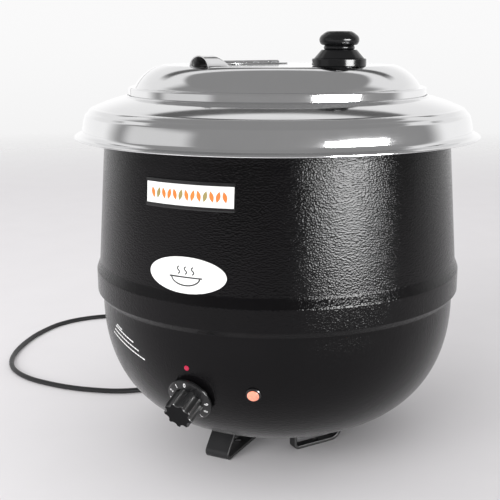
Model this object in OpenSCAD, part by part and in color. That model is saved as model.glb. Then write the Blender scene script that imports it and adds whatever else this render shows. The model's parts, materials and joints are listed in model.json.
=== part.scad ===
// Soup kettle: a free-standing electric kettle with a lift-out pot and a two-part hinged lid.
// Millimetres, +Z up. The origin is on the floor under the kettle's axis.
// The dial and the menu label face -Y. Azimuths turn from -Y towards +X.

/* [Casing] */
// Outer diameter of the casing under the top ring
casing_top_d = 293; // [291:0.5:295]
// Outer diameter of the casing just above its ridge
casing_low_d = 307.4; // [306:0.2:309]
// Outer diameter of the ridge where the two pressings join
ridge_d = 313; // [312:0.5:315]
// Height of the seam under the ridge
seam_z = 141; // [140:0.5:142]
// Outer diameter of the bowl just under the seam
bowl_d = 304.2; // [303:0.2:305]
// Thickness of the casing sheet
shell_t = 1.2; // [1:0.1:1.3]

/* [Top ring] */
// Outer diameter of the ring's lip, the widest part of the kettle
ring_d = 340; // [338:1:344]
// Height of the flat seat that the pot and the lid stand on
seat_z = 302; // [301.5:0.5:302.5]
// Thickness of the ring sheet
ring_t = 1; // [0.8:0.1:1]

/* [Pot and well] */
// Outer diameter of the lift-out pot
pot_d = 235.2; // [232:0.2:236]
// Height of the pot's underside
pot_z = 110; // [109.5:0.5:116]
// Outer diameter of the water well
well_d = 255; // [253:0.5:256]
// Height of the well's underside
well_z = 104; // [103.5:0.5:104.5]

/* [Lid] */
// Diameter of the lid
lid_d = 249.2; // [248.6:0.2:249.6]
// Height of the flat top of the lid
lid_top_z = 327.5; // [326:0.5:328.5]
// Distance of the hinge line behind the kettle's axis
hinge_x = 39; // [36:1:42]
// Length of the hinge
hinge_len = 60; // [55:5:70]
// Azimuth that the lid's knob is turned to
lid_azimuth = 63; // [60:1:66]
// Distance of the knob from the kettle's axis
knob_r = 79; // [72:1:80]

/* [Controls] */
// Azimuth of the dial
dial_azimuth = -1; // [-5:0.5:0]
// Height of the dial's centre on the bowl
dial_z = 82; // [77:1:84]
// Diameter of the dial's skirt
dial_d = 37; // [36:1:42]
// Azimuth of the pilot lamp
lamp_azimuth = 19; // [18:1:24]
// Height of the pilot lamp on the bowl
lamp_z = 90.5; // [88:0.5:92]

/* [Feet] */
// Height of the feet, up to the base plate
foot_h = 24.3; // [24:0.1:24.3]
// Width of the front and rear foot straps
foot_w = 22; // [20:1:24]
// How far the front and rear feet lean out at the floor
foot_flare = 13; // [8:1:14]
// Width of the side foot straps
side_foot_w = 8; // [8:0.5:10]
// Span of the foot loop
foot_span = 50; // [46:1:52]
// Distance of the feet from the kettle's axis
foot_r = 49; // [47:1:50]

/* [Cord] */
// Diameter of the mains cord
cord_d = 5; // [4.8:0.1:5]

/* [Hidden] */
$fn = 64;
running_gap = 0.3;

// Casing
casing_top_z = 297.2;
casing_neck_z = 262;
ridge_top_z = 159;
ridge_slope_z = 166.3;
shell_flange_r = 131;
bowl_z = 25.5;
bowl_top_z = 133;
bowl_flat_r = 54.8;
bowl_roundness = 0.88;
bowl_hole_r = 53.2;
bowl_collar_z = 150;
bowl_steps = 15;
bowl_run = bowl_d / 2 - bowl_flat_r;
bowl_rise = bowl_top_z - bowl_z;
base_plate_r = 61;
base_plate_t = bowl_z - foot_h;
base_screw_r = 57;
base_screw_azimuths = [25, 115, 205, 295];

// Top ring
ring_r = ring_d / 2;
seat_in_r = 118.5;
seat_wall_r = 125.8;
seat_wall_h = 1.8;

// Lid
lid_r = lid_d / 2;
lid_t = 1;
lid_flat_r = 98.5;
lid_dome_r = 118.7;
lid_dome_drop = 15.6;
lid_dome_sag = 2.2;
lid_ledge_drop = 17.6;
lid_gap = 1;
lid_turn = lid_azimuth - 90;
hinge_pin_d = 1.6;
hinge_knuckle_d = 3;
hinge_z = lid_top_z + hinge_knuckle_d / 2;
hinge_knuckles = 5;
hinge_leaf_w = 14;
hinge_leaf_t = 0.9;
hinge_play = 0.3;
rivet_d = 3.2;
rivet_spacing = hinge_len / 3;
knob_z = lid_top_z;
knob_base_r = 21;
knob_screw_d = 4;
hood_azimuth = -12;
hood_mouth_r = 97;
hood_arch_r = 10;
hood_drop = 1.7;
hood_len = 16;
hood_t = 0.8;

// Pot and well
pot_t = 0.8;
pot_corner_r = 8;
pot_flange_r = 121.5;
well_t = 1;
well_corner_r = 10;
well_flange_r = 138;
well_flange_z = 298.3;

// Controls
skirt_z = 2;
skirt_t = 4;
grip_z = skirt_z + skirt_t;
grip_h = 16.5;
grip_d = 25;
grip_flutes = 9;
shaft_d = 6;
bush_d = 9;
bush_play = 0.05;
dial_turn = 270;
dial_marks_n = 10;
thermostat_size = [30, 30, 18];
thermostat_z = -4;
lamp_d = 8;
lamp_bezel_d = 12;
index_dot_z = 107;
index_dot_d = 4.2;

// Label and badge
label_z = 238.5;
label_size = [73, 15.5];
holder_lip = 2.8;
badge_z = 180;
badge_size = [65, 27];

// Heater and wiring
heater_r = 85;
heater_tube_r = 4;
heater_z = well_z - heater_tube_r - 0.2;
plate_r = 98;
stud_d = 6;
wire_d = 2.6;
bulb_d = 6;
bulb_len = 50;
bulb_x = -96;
bulb_y = 20;
capillary_d = 1.6;

// Mains cord
cord_r = cord_d / 2;
gland_azimuth = 180;
gland_z = 62;
gland_len = 6;
relief_len = 30;
relief_z = 3;
coil_centre = [-166, 203];
coil_mid_r = 28;
coil_width = 15;
coil_low = 0.9;
coil_high = 10.3;
tie_t = 0.7;
tie_w = 8;
plug_at = [-105, 238];

// The cord from the tip of the strain relief to the coil
CORD_ROUTE = [
    [0, 160.2, 43], [0, 171, 36], [0, 182, 28.2], [0, 190.5, 21], [0, 198.5, 13.8],
    [-0.5, 206.5, 8], [-3, 215, 4.4], [-9, 223.5, 2.8], [-20, 230, 2.6], [-34, 230.5, 2.6],
    [-50, 223, 2.6], [-66, 209, 2.6], [-80, 189, 2.6], [-92, 164, 2.6], [-103, 137, 2.6],
    [-112, 109, 2.6], [-121, 81, 2.6], [-132, 54, 2.6], [-145, 31, 2.6], [-161, 12, 2.6],
    [-180, -1, 2.6], [-203, -9, 2.6], [-229, -14, 2.6], [-255, -15, 2.6],
    [-280, -13, 2.6], [-303, -6, 2.6], [-322, 5, 2.6], [-339, 22, 2.6], [-353, 44, 2.6],
    [-364, 69, 2.6], [-372, 95, 2.6], [-376, 121, 2.6], [-376, 147, 2.6], [-368, 171, 2.6],
    [-353, 192, 2.6], [-332, 209, 2.6], [-306, 221, 2.6], [-276, 230, 2.6],
    [-245, 235.5, 2.6], [-213, 237, 2.8], [-182, 236.5, 3.4]
];
// The end of the cord from the coil to the plug
CORD_TAIL = [[-149, 234, 7.8], [-140, 235.5, 9], [-131, 237, 10.8], [-121.5, 238, 12.2]];

// Inner wires, each from its own terminal
SUPPLY_LEAD = [[0, 122.5, 69], [0, 110, 72], [0, 90, 66], [0, 70, 52], [0, 54, 42]];
WIRE_LINE = [[-4, 28, 42.6], [-20, 0, 48], [-30, -50, 58], [-22, -95, 66], [-15, -113.5, 75]];
WIRE_SWITCHED = [[-2, -112.5, 76], [6, -90, 64], [20, -60, 62], [28, -66, 74], [30, -78, 82.5]];
WIRE_NEUTRAL = [[4, 28, 42.6], [22, 10, 50], [46, -20, 58], [52, -46, 70], [50, -68, 82.5]];
WIRE_LAMP = [[12, 28, 42.6], [36, 16, 46], [54, -24, 54], [50, -72, 72], [39.3, -113.5, 98.2]];
CAPILLARY = [[-22, -113, 86], [-36, -100, 88], [-60, -82, 92], [-84, -58, 97], [-96, -31, 100.5]];

// ---------------------------------------------------------------- shared geometry

// Points of an arc in the plane of a profile
function arc(centre, r, from, to, steps) =
    [for (i = [0:steps]) let (a = from + (to - from) * i / steps)
        centre + r * [cos(a), sin(a)]];

// Points of the bowl's outline, from its top edge to its flat bottom
function bowl_outline(inset) =
    [for (i = [0:bowl_steps]) let (a = 90 * i / bowl_steps)
        [bowl_flat_r + (bowl_run - inset) * pow(cos(a), bowl_roundness),
         bowl_top_z - (bowl_rise - inset) * pow(sin(a), bowl_roundness)]];

// Place and downward tilt of the bowl's surface at a height
function bowl_angle(z) = asin(pow((bowl_top_z - z) / bowl_rise, 1 / bowl_roundness));
function bowl_radius(z) = bowl_flat_r + bowl_run * pow(cos(bowl_angle(z)), bowl_roundness);
function bowl_tilt(z) = atan(bowl_run / bowl_rise * pow(tan(bowl_angle(z)), 2 - bowl_roundness));

// Radius of the casing's upper wall at a height
function wall_radius(z) =
    casing_top_d / 2 + (casing_low_d - casing_top_d) / 2
        * (casing_neck_z - z) / (casing_neck_z - ridge_slope_z);

// A smooth point between the second and the third of four points
function smooth_point(a, b, c, d) = (9 * (b + c) - a - d) / 16;
function route_point(p, i) = p[max(0, min(len(p) - 1, i))];
function smooth_route(p) =
    [for (i = [0:2 * len(p) - 2]) i % 2 == 0 ? p[i / 2] :
        smooth_point(route_point(p, (i - 3) / 2), p[(i - 1) / 2],
            p[(i + 1) / 2], route_point(p, (i + 3) / 2))];
function unit(v) = v / norm(v);

// Puts its children on the bowl, with +Z along the surface's outward normal
module on_bowl(azimuth, z) {
    rotate([0, 0, azimuth])
        translate([0, -bowl_radius(z), z])
            rotate([90 + bowl_tilt(z), 0, 0])
                children();
}

// Turns its children from the lid's own frame, where the knob is on +X
module in_lid_frame() {
    rotate([0, 0, lid_turn])
        children();
}

// A round tube swept along a route
module tube_along(p, d, sides) {
    n = len(p);
    rings = [for (i = [0:n - 1]) let (
            t = unit(p[min(n - 1, i + 1)] - p[max(0, i - 1)]),
            u = unit(cross(t, [0, 0, 1])),
            v = cross(u, t))
        [for (k = [0:sides - 1]) let (a = 360 * k / sides)
            p[i] + d / 2 * (cos(a) * u + sin(a) * v)]];
    faces = concat(
        [[for (k = [sides - 1:-1:0]) k]],
        [for (i = [0:n - 2]) for (k = [0:sides - 1])
            [i * sides + k, i * sides + (k + 1) % sides,
             (i + 1) * sides + (k + 1) % sides, (i + 1) * sides + k]],
        [[for (k = [0:sides - 1]) (n - 1) * sides + k]]);
    polyhedron(points = [for (r = rings) for (q = r) q], faces = faces, convexity = 8);
}

// A rectangle with true round corners, centred on the origin
module round_rectangle(w, h, r) {
    square([w - 2 * r, h], center = true);
    square([w, h - 2 * r], center = true);
    for (x = [-1, 1])
        for (y = [-1, 1])
            translate([x * (w / 2 - r), y * (h / 2 - r)])
                circle(r);
}

// A pan-head screw, head down at z = 0 and shank up
module screw_up(d, head_d, head_h, length) {
    translate([0, 0, -head_h])
        cylinder(h = head_h, d = head_d);
    cylinder(h = length, d = d);
}

// A hexagon nut with a bore, standing on z = 0
module hex_nut(across, h, bore) {
    difference() {
        cylinder(h = h, d = across / cos(30), $fn = 6);
        translate([0, 0, -1])
            cylinder(h = h + 2, d = bore);
    }
}

// An open vessel with a round bottom corner and a flange, as a turned sheet
module vessel(r, low, corner, t, flange_r, flange_top) {
    rotate_extrude()
        polygon(concat(
            [[0, low]],
            arc([r - corner, low + corner], corner, -90, 0, 8),
            [[r, flange_top - t], [flange_r, flange_top - t], [flange_r, flange_top],
             [r - t, flange_top]],
            arc([r - corner, low + corner], corner - t, 0, -90, 8),
            [[0, low + t]]));
}

// A thin curved plate on the casing's upper wall, cut to a window seen from the front
module wall_plate(gap, t, low, high) {
    intersection() {
        rotate_extrude($fn = 128)
            polygon([
                [wall_radius(low) + gap, low], [wall_radius(low) + gap + t, low],
                [wall_radius(high) + gap + t, high], [wall_radius(high) + gap, high]]);
        children();
    }
}

// ---------------------------------------------------------------- casing

module upper_shell() color("black")
    rotate_extrude($fn = 128)
        polygon([
            [shell_flange_r, casing_top_z],
            [140, casing_top_z],
            [146, 292],
            [casing_top_d / 2, casing_neck_z],
            [casing_low_d / 2, ridge_slope_z],
            [ridge_d / 2, ridge_top_z],
            [ridge_d / 2, seam_z],
            [ridge_d / 2 - shell_t, seam_z],
            [ridge_d / 2 - shell_t, ridge_top_z + 0.4],
            [casing_low_d / 2 - shell_t, ridge_slope_z + 0.4],
            [casing_top_d / 2 - shell_t, casing_neck_z],
            [146 - shell_t, 291.4],
            [139.5, casing_top_z - shell_t],
            [shell_flange_r, casing_top_z - shell_t]]);

module lower_bowl() color("black")
    difference() {
        collar_r = ridge_d / 2 - shell_t - 0.1;
        rotate_extrude($fn = 128)
            polygon(concat(
                [[collar_r, bowl_collar_z], [collar_r, seam_z - 0.4], [bowl_d / 2 + 0.2, seam_z - 4.8]],
                bowl_outline(0),
                [[bowl_hole_r, bowl_z], [bowl_hole_r, bowl_z + shell_t]],
                [for (i = [bowl_steps:-1:0]) bowl_outline(shell_t)[i]],
                [[bowl_d / 2 - 1, seam_z - 4.3], [collar_r - shell_t, seam_z + 0.1],
                 [collar_r - shell_t, bowl_collar_z]]));
        on_bowl(dial_azimuth, dial_z)
            translate([0, 0, -6])
                cylinder(h = 12, d = bush_d + 0.2);
        on_bowl(lamp_azimuth, lamp_z)
            translate([0, 0, -6])
                cylinder(h = 12, d = lamp_d + 0.2);
        on_bowl(gland_azimuth, gland_z)
            translate([0, 0, -6])
                cylinder(h = 12, d = 12.2);
        for (a = base_screw_azimuths)
            rotate([0, 0, a])
                translate([0, -base_screw_r, bowl_z - 2])
                    cylinder(h = 5, d = 3.2);
    }

module base_plate() color("dimgray")
    difference() {
        translate([0, 0, foot_h])
            cylinder(h = base_plate_t - 0.05, r = base_plate_r);
        for (a = base_screw_azimuths)
            rotate([0, 0, a])
                translate([0, -base_screw_r, foot_h - 1])
                    cylinder(h = 4, d = 3.2);
        at_each_foot()
            translate([0, 0, foot_h - 1])
                cylinder(h = 4, d = 4.2);
        // Vent slots
        for (x = [-12:6:12])
            translate([x - 1, -12, foot_h - 1])
                cube([2, 24, 4]);
    }

module base_screws() color("silver")
    for (a = base_screw_azimuths)
        rotate([0, 0, a])
            translate([0, -base_screw_r, foot_h - 0.05])
                screw_up(3, 5.5, 1.8, 5);

// ---------------------------------------------------------------- feet

FOOT_AZIMUTHS = [-20, 70, 160, 250];
FOOT_SPINS = [0, 57, 180, 90];
foot_gap = 0.02;

module at_foot(i) {
    rotate([0, 0, FOOT_AZIMUTHS[i]])
        translate([0, -foot_r, 0])
            rotate([0, 0, -FOOT_AZIMUTHS[i]])
                children();
}

module at_each_foot() {
    for (i = [0:3])
        at_foot(i)
            children();
}

// Outline of a foot loop: far_r rounds its +X end, flare carries its lower -X corner outwards
module foot_outline(far_r, flare) {
    near_r = 5;
    half_h = foot_h / 2 - foot_gap;
    hull()
        for (y = [-1, 1]) {
            translate([near_r - foot_span / 2 - (y < 0 ? flare : 0), y * (half_h - near_r)])
                circle(near_r);
            translate([foot_span / 2 - far_r, y * (half_h - far_r)])
                circle(far_r);
        }
}

// A closed strap loop with one screw through its upper bar
module foot(i) {
    strap_t = 3;
    width = i == 0 || i == 2 ? foot_w : side_foot_w;
    far_r = i == 0 || i == 2 ? 5 : 11;
    flare = i == 0 || i == 2 ? foot_flare : 0;
    at_foot(i)
        rotate([0, 0, FOOT_SPINS[i]])
            difference() {
                translate([0, 0, foot_h / 2 - foot_gap])
                    rotate([90, 0, i == 0 || i == 2 ? 90 : 0])
                        translate([0, 0, -width / 2])
                            linear_extrude(width)
                                difference() {
                                    foot_outline(far_r, flare);
                                    offset(delta = -strap_t)
                                        foot_outline(far_r, flare);
                                }
                translate([0, 0, foot_h - 6])
                    cylinder(h = 8, d = 4.2);
                translate([0, 0, -1])
                    cylinder(h = 8, d = i == 0 || i == 2 ? 9 : 5);
            }
}

module foot_front() color("black") foot(0);
module foot_right() color("black") foot(1);
module foot_rear() color("black") foot(2);
module foot_left() color("black") foot(3);

module foot_screws() color("silver")
    at_each_foot()
        translate([0, 0, foot_h - 3.1])
            screw_up(4, 7.6, 2.4, 9.5);

module foot_nuts() color("silver")
    at_each_foot()
        translate([0, 0, bowl_z])
            hex_nut(6.8, 3, 4.1);

// ---------------------------------------------------------------- well, heater and insulation

module water_well() color("gainsboro")
    vessel(well_d / 2, well_z, well_corner_r, well_t, well_flange_r, well_flange_z);

module insulation_jacket() color("khaki")
    translate([0, 0, 155])
        difference() {
            cylinder(h = 130, r = 142);
            translate([0, 0, -1])
                cylinder(h = 132, r = well_d / 2 + 0.5);
        }

// A tubular heater bent to an open ring, with its two terminals turned down
module heater_ring() color("gray") {
    difference() {
        translate([0, 0, heater_z])
            rotate_extrude()
                translate([heater_r, 0])
                    circle(heater_tube_r, $fn = 24);
        translate([30, -heater_r - 10, heater_z - 10])
            cube([20, 40, 20]);
    }
    for (x = [30, 50])
        translate([x, -sqrt(heater_r * heater_r - x * x), 0]) {
            translate([0, 0, heater_z - 9])
                cylinder(h = 9, r = heater_tube_r - 0.4, $fn = 24);
            translate([0, 0, heater_z - 16])
                cylinder(h = 8, r = 1.5, $fn = 24);
        }
}

module heater_plate() color("lightgray")
    difference() {
        translate([0, 0, heater_z - heater_tube_r - 1.7])
            cylinder(h = 1.5, r = plate_r);
        translate([0, 0, heater_z - 20])
            cylinder(h = 40, d = stud_d + 0.6);
        translate([22, -plate_r - 5, heater_z - 20])
            cube([36, 50, 40]);
    }

module heater_stud() color("silver")
    translate([0, 0, well_z - 16])
        cylinder(h = 15.9, d = stud_d);

module heater_nut() color("silver")
    translate([0, 0, heater_z - heater_tube_r - 6.8])
        hex_nut(10, 5, stud_d + 0.1);

// ---------------------------------------------------------------- thermostat and lamp

module thermostat_body() color("whitesmoke")
    on_bowl(dial_azimuth, dial_z) {
        difference() {
            union() {
                translate([-thermostat_size[0] / 2, -thermostat_size[1] / 2,
                        thermostat_z - thermostat_size[2]])
                    cube(thermostat_size);
                translate([0, 0, thermostat_z])
                    cylinder(h = 8, d = bush_d);
            }
            translate([0, 0, thermostat_z - 1])
                cylinder(h = 10, d = shaft_d + 2 * bush_play);
        }
    }

module thermostat_nut() color("silver")
    on_bowl(dial_azimuth, dial_z)
        translate([0, 0, 0.1])
            hex_nut(13, 2.8, bush_d + 0.1);

module sensor_bulb() color("peru")
    translate([bulb_x, bulb_y, well_z - bulb_d / 2 - 0.3])
        rotate([90, 0, 0])
            cylinder(h = bulb_len, d = bulb_d, $fn = 24);

module capillary_tube() color("peru") tube_along(smooth_route(CAPILLARY), capillary_d, 6);

module pilot_bezel() color("black")
    on_bowl(lamp_azimuth, lamp_z)
        rotate_extrude()
            polygon([
                [lamp_d / 2 + 0.1, 0.2], [lamp_bezel_d / 2, 0.2], [lamp_bezel_d / 2, 1.2],
                [lamp_bezel_d / 2 - 0.8, 2.2], [lamp_d / 2 + 0.6, 2.2], [lamp_d / 2 + 0.1, 1.6]]);

module pilot_lens() color("orangered")
    on_bowl(lamp_azimuth, lamp_z)
        rotate_extrude()
            polygon([
                [0, 0.3], [lamp_d / 2, 0.3], [lamp_d / 2, 1.6], [lamp_d / 2 - 0.6, 2.6],
                [lamp_d / 2 - 1.6, 3.1], [0, 3.3]]);

module pilot_lamp_body() color("white")
    on_bowl(lamp_azimuth, lamp_z) {
        translate([0, 0, -20])
            cylinder(h = 20.2, d = lamp_d);
        for (x = [-2, 2])
            translate([x - 0.4, -1.5, -26])
                cube([0.8, 3, 6.1]);
    }

// ---------------------------------------------------------------- terminals and wiring

module terminal_block() color("ivory")
    difference() {
        translate([-20, 20, bowl_z + 1.5])
            cube([40, 16, 14]);
        for (x = [-12:8:12])
            translate([x, 28, bowl_z + 8])
                cylinder(h = 10, d = 4.6);
    }

module wiring() color("firebrick") {
    tube_along(smooth_route(SUPPLY_LEAD), cord_d, 8);
    for (route = [WIRE_LINE, WIRE_SWITCHED, WIRE_NEUTRAL, WIRE_LAMP])
        tube_along(smooth_route(route), wire_d, 6);
}

// ---------------------------------------------------------------- cord gland

module cord_gland() color("black")
    on_bowl(gland_azimuth, gland_z)
        difference() {
            union() {
                translate([0, 0, 0.6])
                    cylinder(h = 2.4, d = 20);
                translate([0, 0, -8])
                    cylinder(h = 9, d = 12);
            }
            translate([0, 0, -9])
                cylinder(h = 20, d = cord_d + 0.4);
        }

module gland_nut() color("black")
    on_bowl(gland_azimuth, gland_z)
        translate([0, 0, -6.8])
            hex_nut(17, 4, 12.1);

module strain_relief() color("black")
    on_bowl(gland_azimuth, gland_z)
        translate([0, 0, relief_z])
            difference() {
                rotate_extrude()
                    polygon([
                        [0, 0.05], [6.5, 0.05], [6.5, 4], [5.4, 6], [3.6, relief_len],
                        [0, relief_len]]);
                translate([0, 0, -1])
                    cylinder(h = relief_len + 2, d = cord_d + 0.4);
                // Relief slots that let the sleeve bend
                for (i = [0:3])
                    translate([0, 0, 9 + 5 * i])
                        rotate([0, 0, 90 * (i % 2)])
                            for (s = [-1, 1])
                                translate([s * 6.4, 0, 0])
                                    cube([6, 14, 1.6], center = true);
            }

// ---------------------------------------------------------------- label, badge and index

module label_holder() color("black") {
    low = label_z - label_size[1] / 2 - holder_lip;
    high = label_z + label_size[1] / 2 + holder_lip;
    half_w = label_size[0] / 2 + 0.6;
    wall_plate(0.1, 0.5, low, high)
        translate([-half_w, -200, low])
            cube([2 * half_w, 100, high - low]);
    wall_plate(0.6, 0.9, low, high)
        for (z = [low, high - holder_lip])
            translate([-half_w, -200, z])
                cube([2 * half_w, 100, holder_lip]);
}

module menu_label() color("white") {
    low = label_z - label_size[1] / 2 + 0.05;
    high = label_z + label_size[1] / 2 - 0.05;
    wall_plate(0.65, 0.35, low, high)
        translate([-label_size[0] / 2, -200, low])
            cube([label_size[0], 100, high - low]);
}

module oval_badge() color("white")
    wall_plate(0.1, 0.5, badge_z - badge_size[1] / 2 - 1, badge_z + badge_size[1] / 2 + 1)
        translate([0, -100, badge_z])
            rotate([90, 0, 0])
                linear_extrude(100)
                    polygon([for (a = [0:7.5:352.5]) [badge_size[0] * cos(a), badge_size[1] * sin(a)] / 2]);

module index_dot() color("red")
    on_bowl(dial_azimuth, index_dot_z)
        translate([0, 0, 0.05])
            cylinder(h = 0.5, d = index_dot_d);

// ---------------------------------------------------------------- top ring and pot

// Points of the ring's upper face, from the seat wall out to the lip
function ring_top() = concat(
    [[seat_wall_r, seat_z + seat_wall_h], [126.6, seat_z + seat_wall_h]],
    arc([95, 163.2], 143.2, 76.5, 65.6, 5),
    arc([151.3, 286.4], 8, 61, 24, 5),
    arc([112.6, 271.2], 51, 19, 5, 4),
    arc([168.2, 276.4], 4.6, 188, 250, 4),
    [[ring_r - 0.8, 271.2], [ring_r, 270.5]]);

module top_ring() color("gainsboro") {
    upper = ring_top();
    last = len(upper) - 1;
    rotate_extrude($fn = 128)
        polygon(concat(
            [[seat_in_r, seat_z], [seat_wall_r, seat_z]],
            upper,
            [[ring_r, 269.7], [ring_r - 0.9, 269.5], [167, 270.6]],
            [for (i = [last - 3:-1:2]) let (d = unit(upper[i + 1] - upper[i - 1]))
                upper[i] + ring_t * [d[1], -d[0]]],
            [[seat_wall_r + ring_t, seat_z - ring_t], [seat_in_r, seat_z - ring_t]]));
}

module inset_pot() color("gainsboro")
    vessel(pot_d / 2, pot_z, pot_corner_r, pot_t, pot_flange_r, seat_z + running_gap + pot_t);

// ---------------------------------------------------------------- lid

// Outline of the lid's sheet, moved inwards by its thickness when inset is not zero
function lid_outline(inset) =
    let (
        p1 = [lid_flat_r, lid_top_z - inset],
        p3 = [lid_dome_r - inset * 0.75, lid_top_z - lid_dome_drop - inset * 0.55],
        chord = p3 - p1,
        r = norm(chord) * norm(chord) / (8 * lid_dome_sag) + lid_dome_sag / 2,
        n = unit([-chord[1], chord[0]]),
        centre = (p1 + p3) / 2 - n * (r - lid_dome_sag),
        a1 = atan2(p1[1] - centre[1], p1[0] - centre[0]),
        a3 = atan2(p3[1] - centre[1], p3[0] - centre[0]))
    concat(
        [[0, lid_top_z - inset]],
        arc(centre, r, a1, a3, 8),
        [[lid_dome_r + 1 - inset * 0.8, lid_top_z - lid_ledge_drop - inset],
         [lid_r - 0.6 - inset * 0.8, lid_top_z - lid_ledge_drop - 0.3 - inset],
         [lid_r - inset, lid_top_z - lid_ledge_drop - 0.9 - inset],
         [lid_r - inset, seat_z + running_gap]]);

module lid_sheet() {
    outer = lid_outline(0);
    inner = lid_outline(lid_t);
    rotate_extrude($fn = 128)
        polygon(concat(outer, [for (i = [len(inner) - 1:-1:0]) inner[i]]));
}

module lid_rear_panel() color("gainsboro")
    in_lid_frame()
        difference() {
            intersection() {
                lid_sheet();
                translate([-200 - hinge_x - lid_gap / 2, -200, 290])
                    cube([200, 400, 60]);
            }
            for (y = rivet_places())
                translate([-hinge_x - rivet_x(), y, lid_top_z - 5])
                    cylinder(h = 10, d = rivet_d + 0.1, $fn = 24);
        }

module lid_front_panel() color("gainsboro")
    difference() {
        in_lid_frame()
            difference() {
                intersection() {
                    lid_sheet();
                    translate([-hinge_x + lid_gap / 2, -200, 290])
                        cube([300, 400, 60]);
                }
                for (y = rivet_places())
                    translate([-hinge_x + rivet_x(), y, lid_top_z - 5])
                        cylinder(h = 10, d = rivet_d + 0.1, $fn = 24);
                translate([knob_r, 0, lid_top_z - 5])
                    cylinder(h = 10, d = knob_screw_d + 0.2, $fn = 24);
            }
        // Slot under the hood that the ladle's handle passes through
        rotate([0, 0, hood_azimuth])
            translate([-7.5, -hood_mouth_r + 1, lid_top_z - 5])
                cube([15, 13, 10]);
    }

// An arch on the plane z = 0 that runs back from y = 0 and ends in a 45 degree slope
module arch_block(r, drop, length) {
    intersection() {
        translate([0, 0, -drop])
            rotate([-90, 0, 0])
                cylinder(h = length + r, r = r, $fn = 48);
        rotate([90, 0, 90])
            linear_extrude(3 * r, center = true)
                polygon([[0, 0], [length + r - drop, 0], [length, r - drop], [0, r - drop]]);
    }
}

module ladle_hood() color("gainsboro")
    rotate([0, 0, hood_azimuth])
        translate([0, -hood_mouth_r, lid_top_z + 0.05])
            difference() {
                arch_block(hood_arch_r, hood_drop, hood_len);
                translate([0, -0.01, -0.01])
                    arch_block(hood_arch_r - hood_t, hood_drop, hood_len);
            }

function rivet_places() = [-rivet_spacing, 0, rivet_spacing];
function rivet_x() = hinge_knuckle_d / 2 + (hinge_leaf_w - hinge_knuckle_d / 2) / 2;

// One leaf of the hinge: a plate towards side * X and every second knuckle
module hinge_leaf(side, first) {
    pitch = hinge_len / hinge_knuckles;
    difference() {
        union() {
            for (i = [first:2:hinge_knuckles - 1])
                translate([-hinge_x, -hinge_len / 2 + i * pitch + hinge_play / 2, 0]) {
                    translate([0, 0, hinge_z + 0.05])
                        rotate([-90, 0, 0])
                            cylinder(h = pitch - hinge_play, d = hinge_knuckle_d, $fn = 32);
                    translate([side > 0 ? 0 : -hinge_knuckle_d, 0, lid_top_z + 0.05])
                        cube([hinge_knuckle_d, pitch - hinge_play, hinge_leaf_t]);
                }
            translate([-hinge_x + (side > 0 ? hinge_knuckle_d / 2 + 0.4 : -hinge_leaf_w),
                    -hinge_len / 2, lid_top_z + 0.05])
                cube([hinge_leaf_w - hinge_knuckle_d / 2 - 0.4, hinge_len, hinge_leaf_t]);
        }
        translate([-hinge_x, -hinge_len / 2 - 1, hinge_z + 0.05])
            rotate([-90, 0, 0])
                cylinder(h = hinge_len + 2, d = hinge_pin_d + 2 * bush_play, $fn = 32);
        for (y = rivet_places())
            translate([-hinge_x + side * rivet_x(), y, lid_top_z - 1])
                cylinder(h = 5, d = rivet_d + 0.1, $fn = 24);
    }
}

// Three rivets through a leaf and its panel
module leaf_rivets(side) {
    for (y = rivet_places())
        translate([-hinge_x + side * rivet_x(), y, lid_top_z - lid_t]) {
            translate([0, 0, -1])
                cylinder(h = 1, d1 = 4, d2 = 5.6, $fn = 24);
            cylinder(h = lid_t + hinge_leaf_t + 0.1, d = rivet_d, $fn = 24);
            translate([0, 0, lid_t + hinge_leaf_t + 0.05])
                cylinder(h = 0.9, d1 = 5.8, d2 = 3.8, $fn = 24);
        }
}

module hinge_rear_leaf() color("silver") in_lid_frame() hinge_leaf(-1, 0);
module hinge_front_leaf() color("silver") in_lid_frame() hinge_leaf(1, 1);
module rear_rivets() color("silver") in_lid_frame() leaf_rivets(-1);
module front_rivets() color("silver") in_lid_frame() leaf_rivets(1);

module hinge_pin() color("silver")
    in_lid_frame()
        translate([-hinge_x, -hinge_len / 2 - 0.8, hinge_z + 0.05])
            rotate([-90, 0, 0])
                cylinder(h = hinge_len + 1.6, d = hinge_pin_d, $fn = 32);

module at_knob() {
    in_lid_frame()
        translate([knob_r, 0, knob_z])
            children();
}

module knob_base() color("black")
    at_knob()
        difference() {
            rotate_extrude()
                polygon([
                    [0, 0.05], [knob_base_r - 0.4, 0.05], [knob_base_r, 0.5], [knob_base_r, 5.4],
                    [knob_base_r - 0.6, 6], [0, 6]]);
            translate([0, 0, -1])
                cylinder(h = 10, d = knob_screw_d + 0.2);
        }

module lid_knob() color("black")
    at_knob()
        difference() {
            rotate_extrude()
                polygon(concat(
                    [[0, 6.05], [knob_base_r - 1.4, 6.05], [14, 12.1], [13.6, 12.5], [10.4, 12.6]],
                    arc([9.9, 14.1], 2.1, -40, 40, 4),
                    [[11, 15.7]],
                    arc([10.8, 19.9], 4.6, -55, 50, 8),
                    [[11.6, 25.2], [9.9, 26.1], [9.2, 26.3], [0, 26.3]]));
            translate([0, 0, 5])
                cylinder(h = 14, d = knob_screw_d + 0.1);
        }

module knob_screw() color("silver")
    at_knob()
        translate([0, 0, -lid_t - 0.9])
            screw_up(knob_screw_d, 8, 2.6, 18);

module knob_washer() color("silver")
    at_knob()
        translate([0, 0, -lid_t - 0.85])
            difference() {
                cylinder(h = 0.8, d = 14);
                translate([0, 0, -1])
                    cylinder(h = 3, d = knob_screw_d + 0.2);
            }

// ---------------------------------------------------------------- dial

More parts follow.
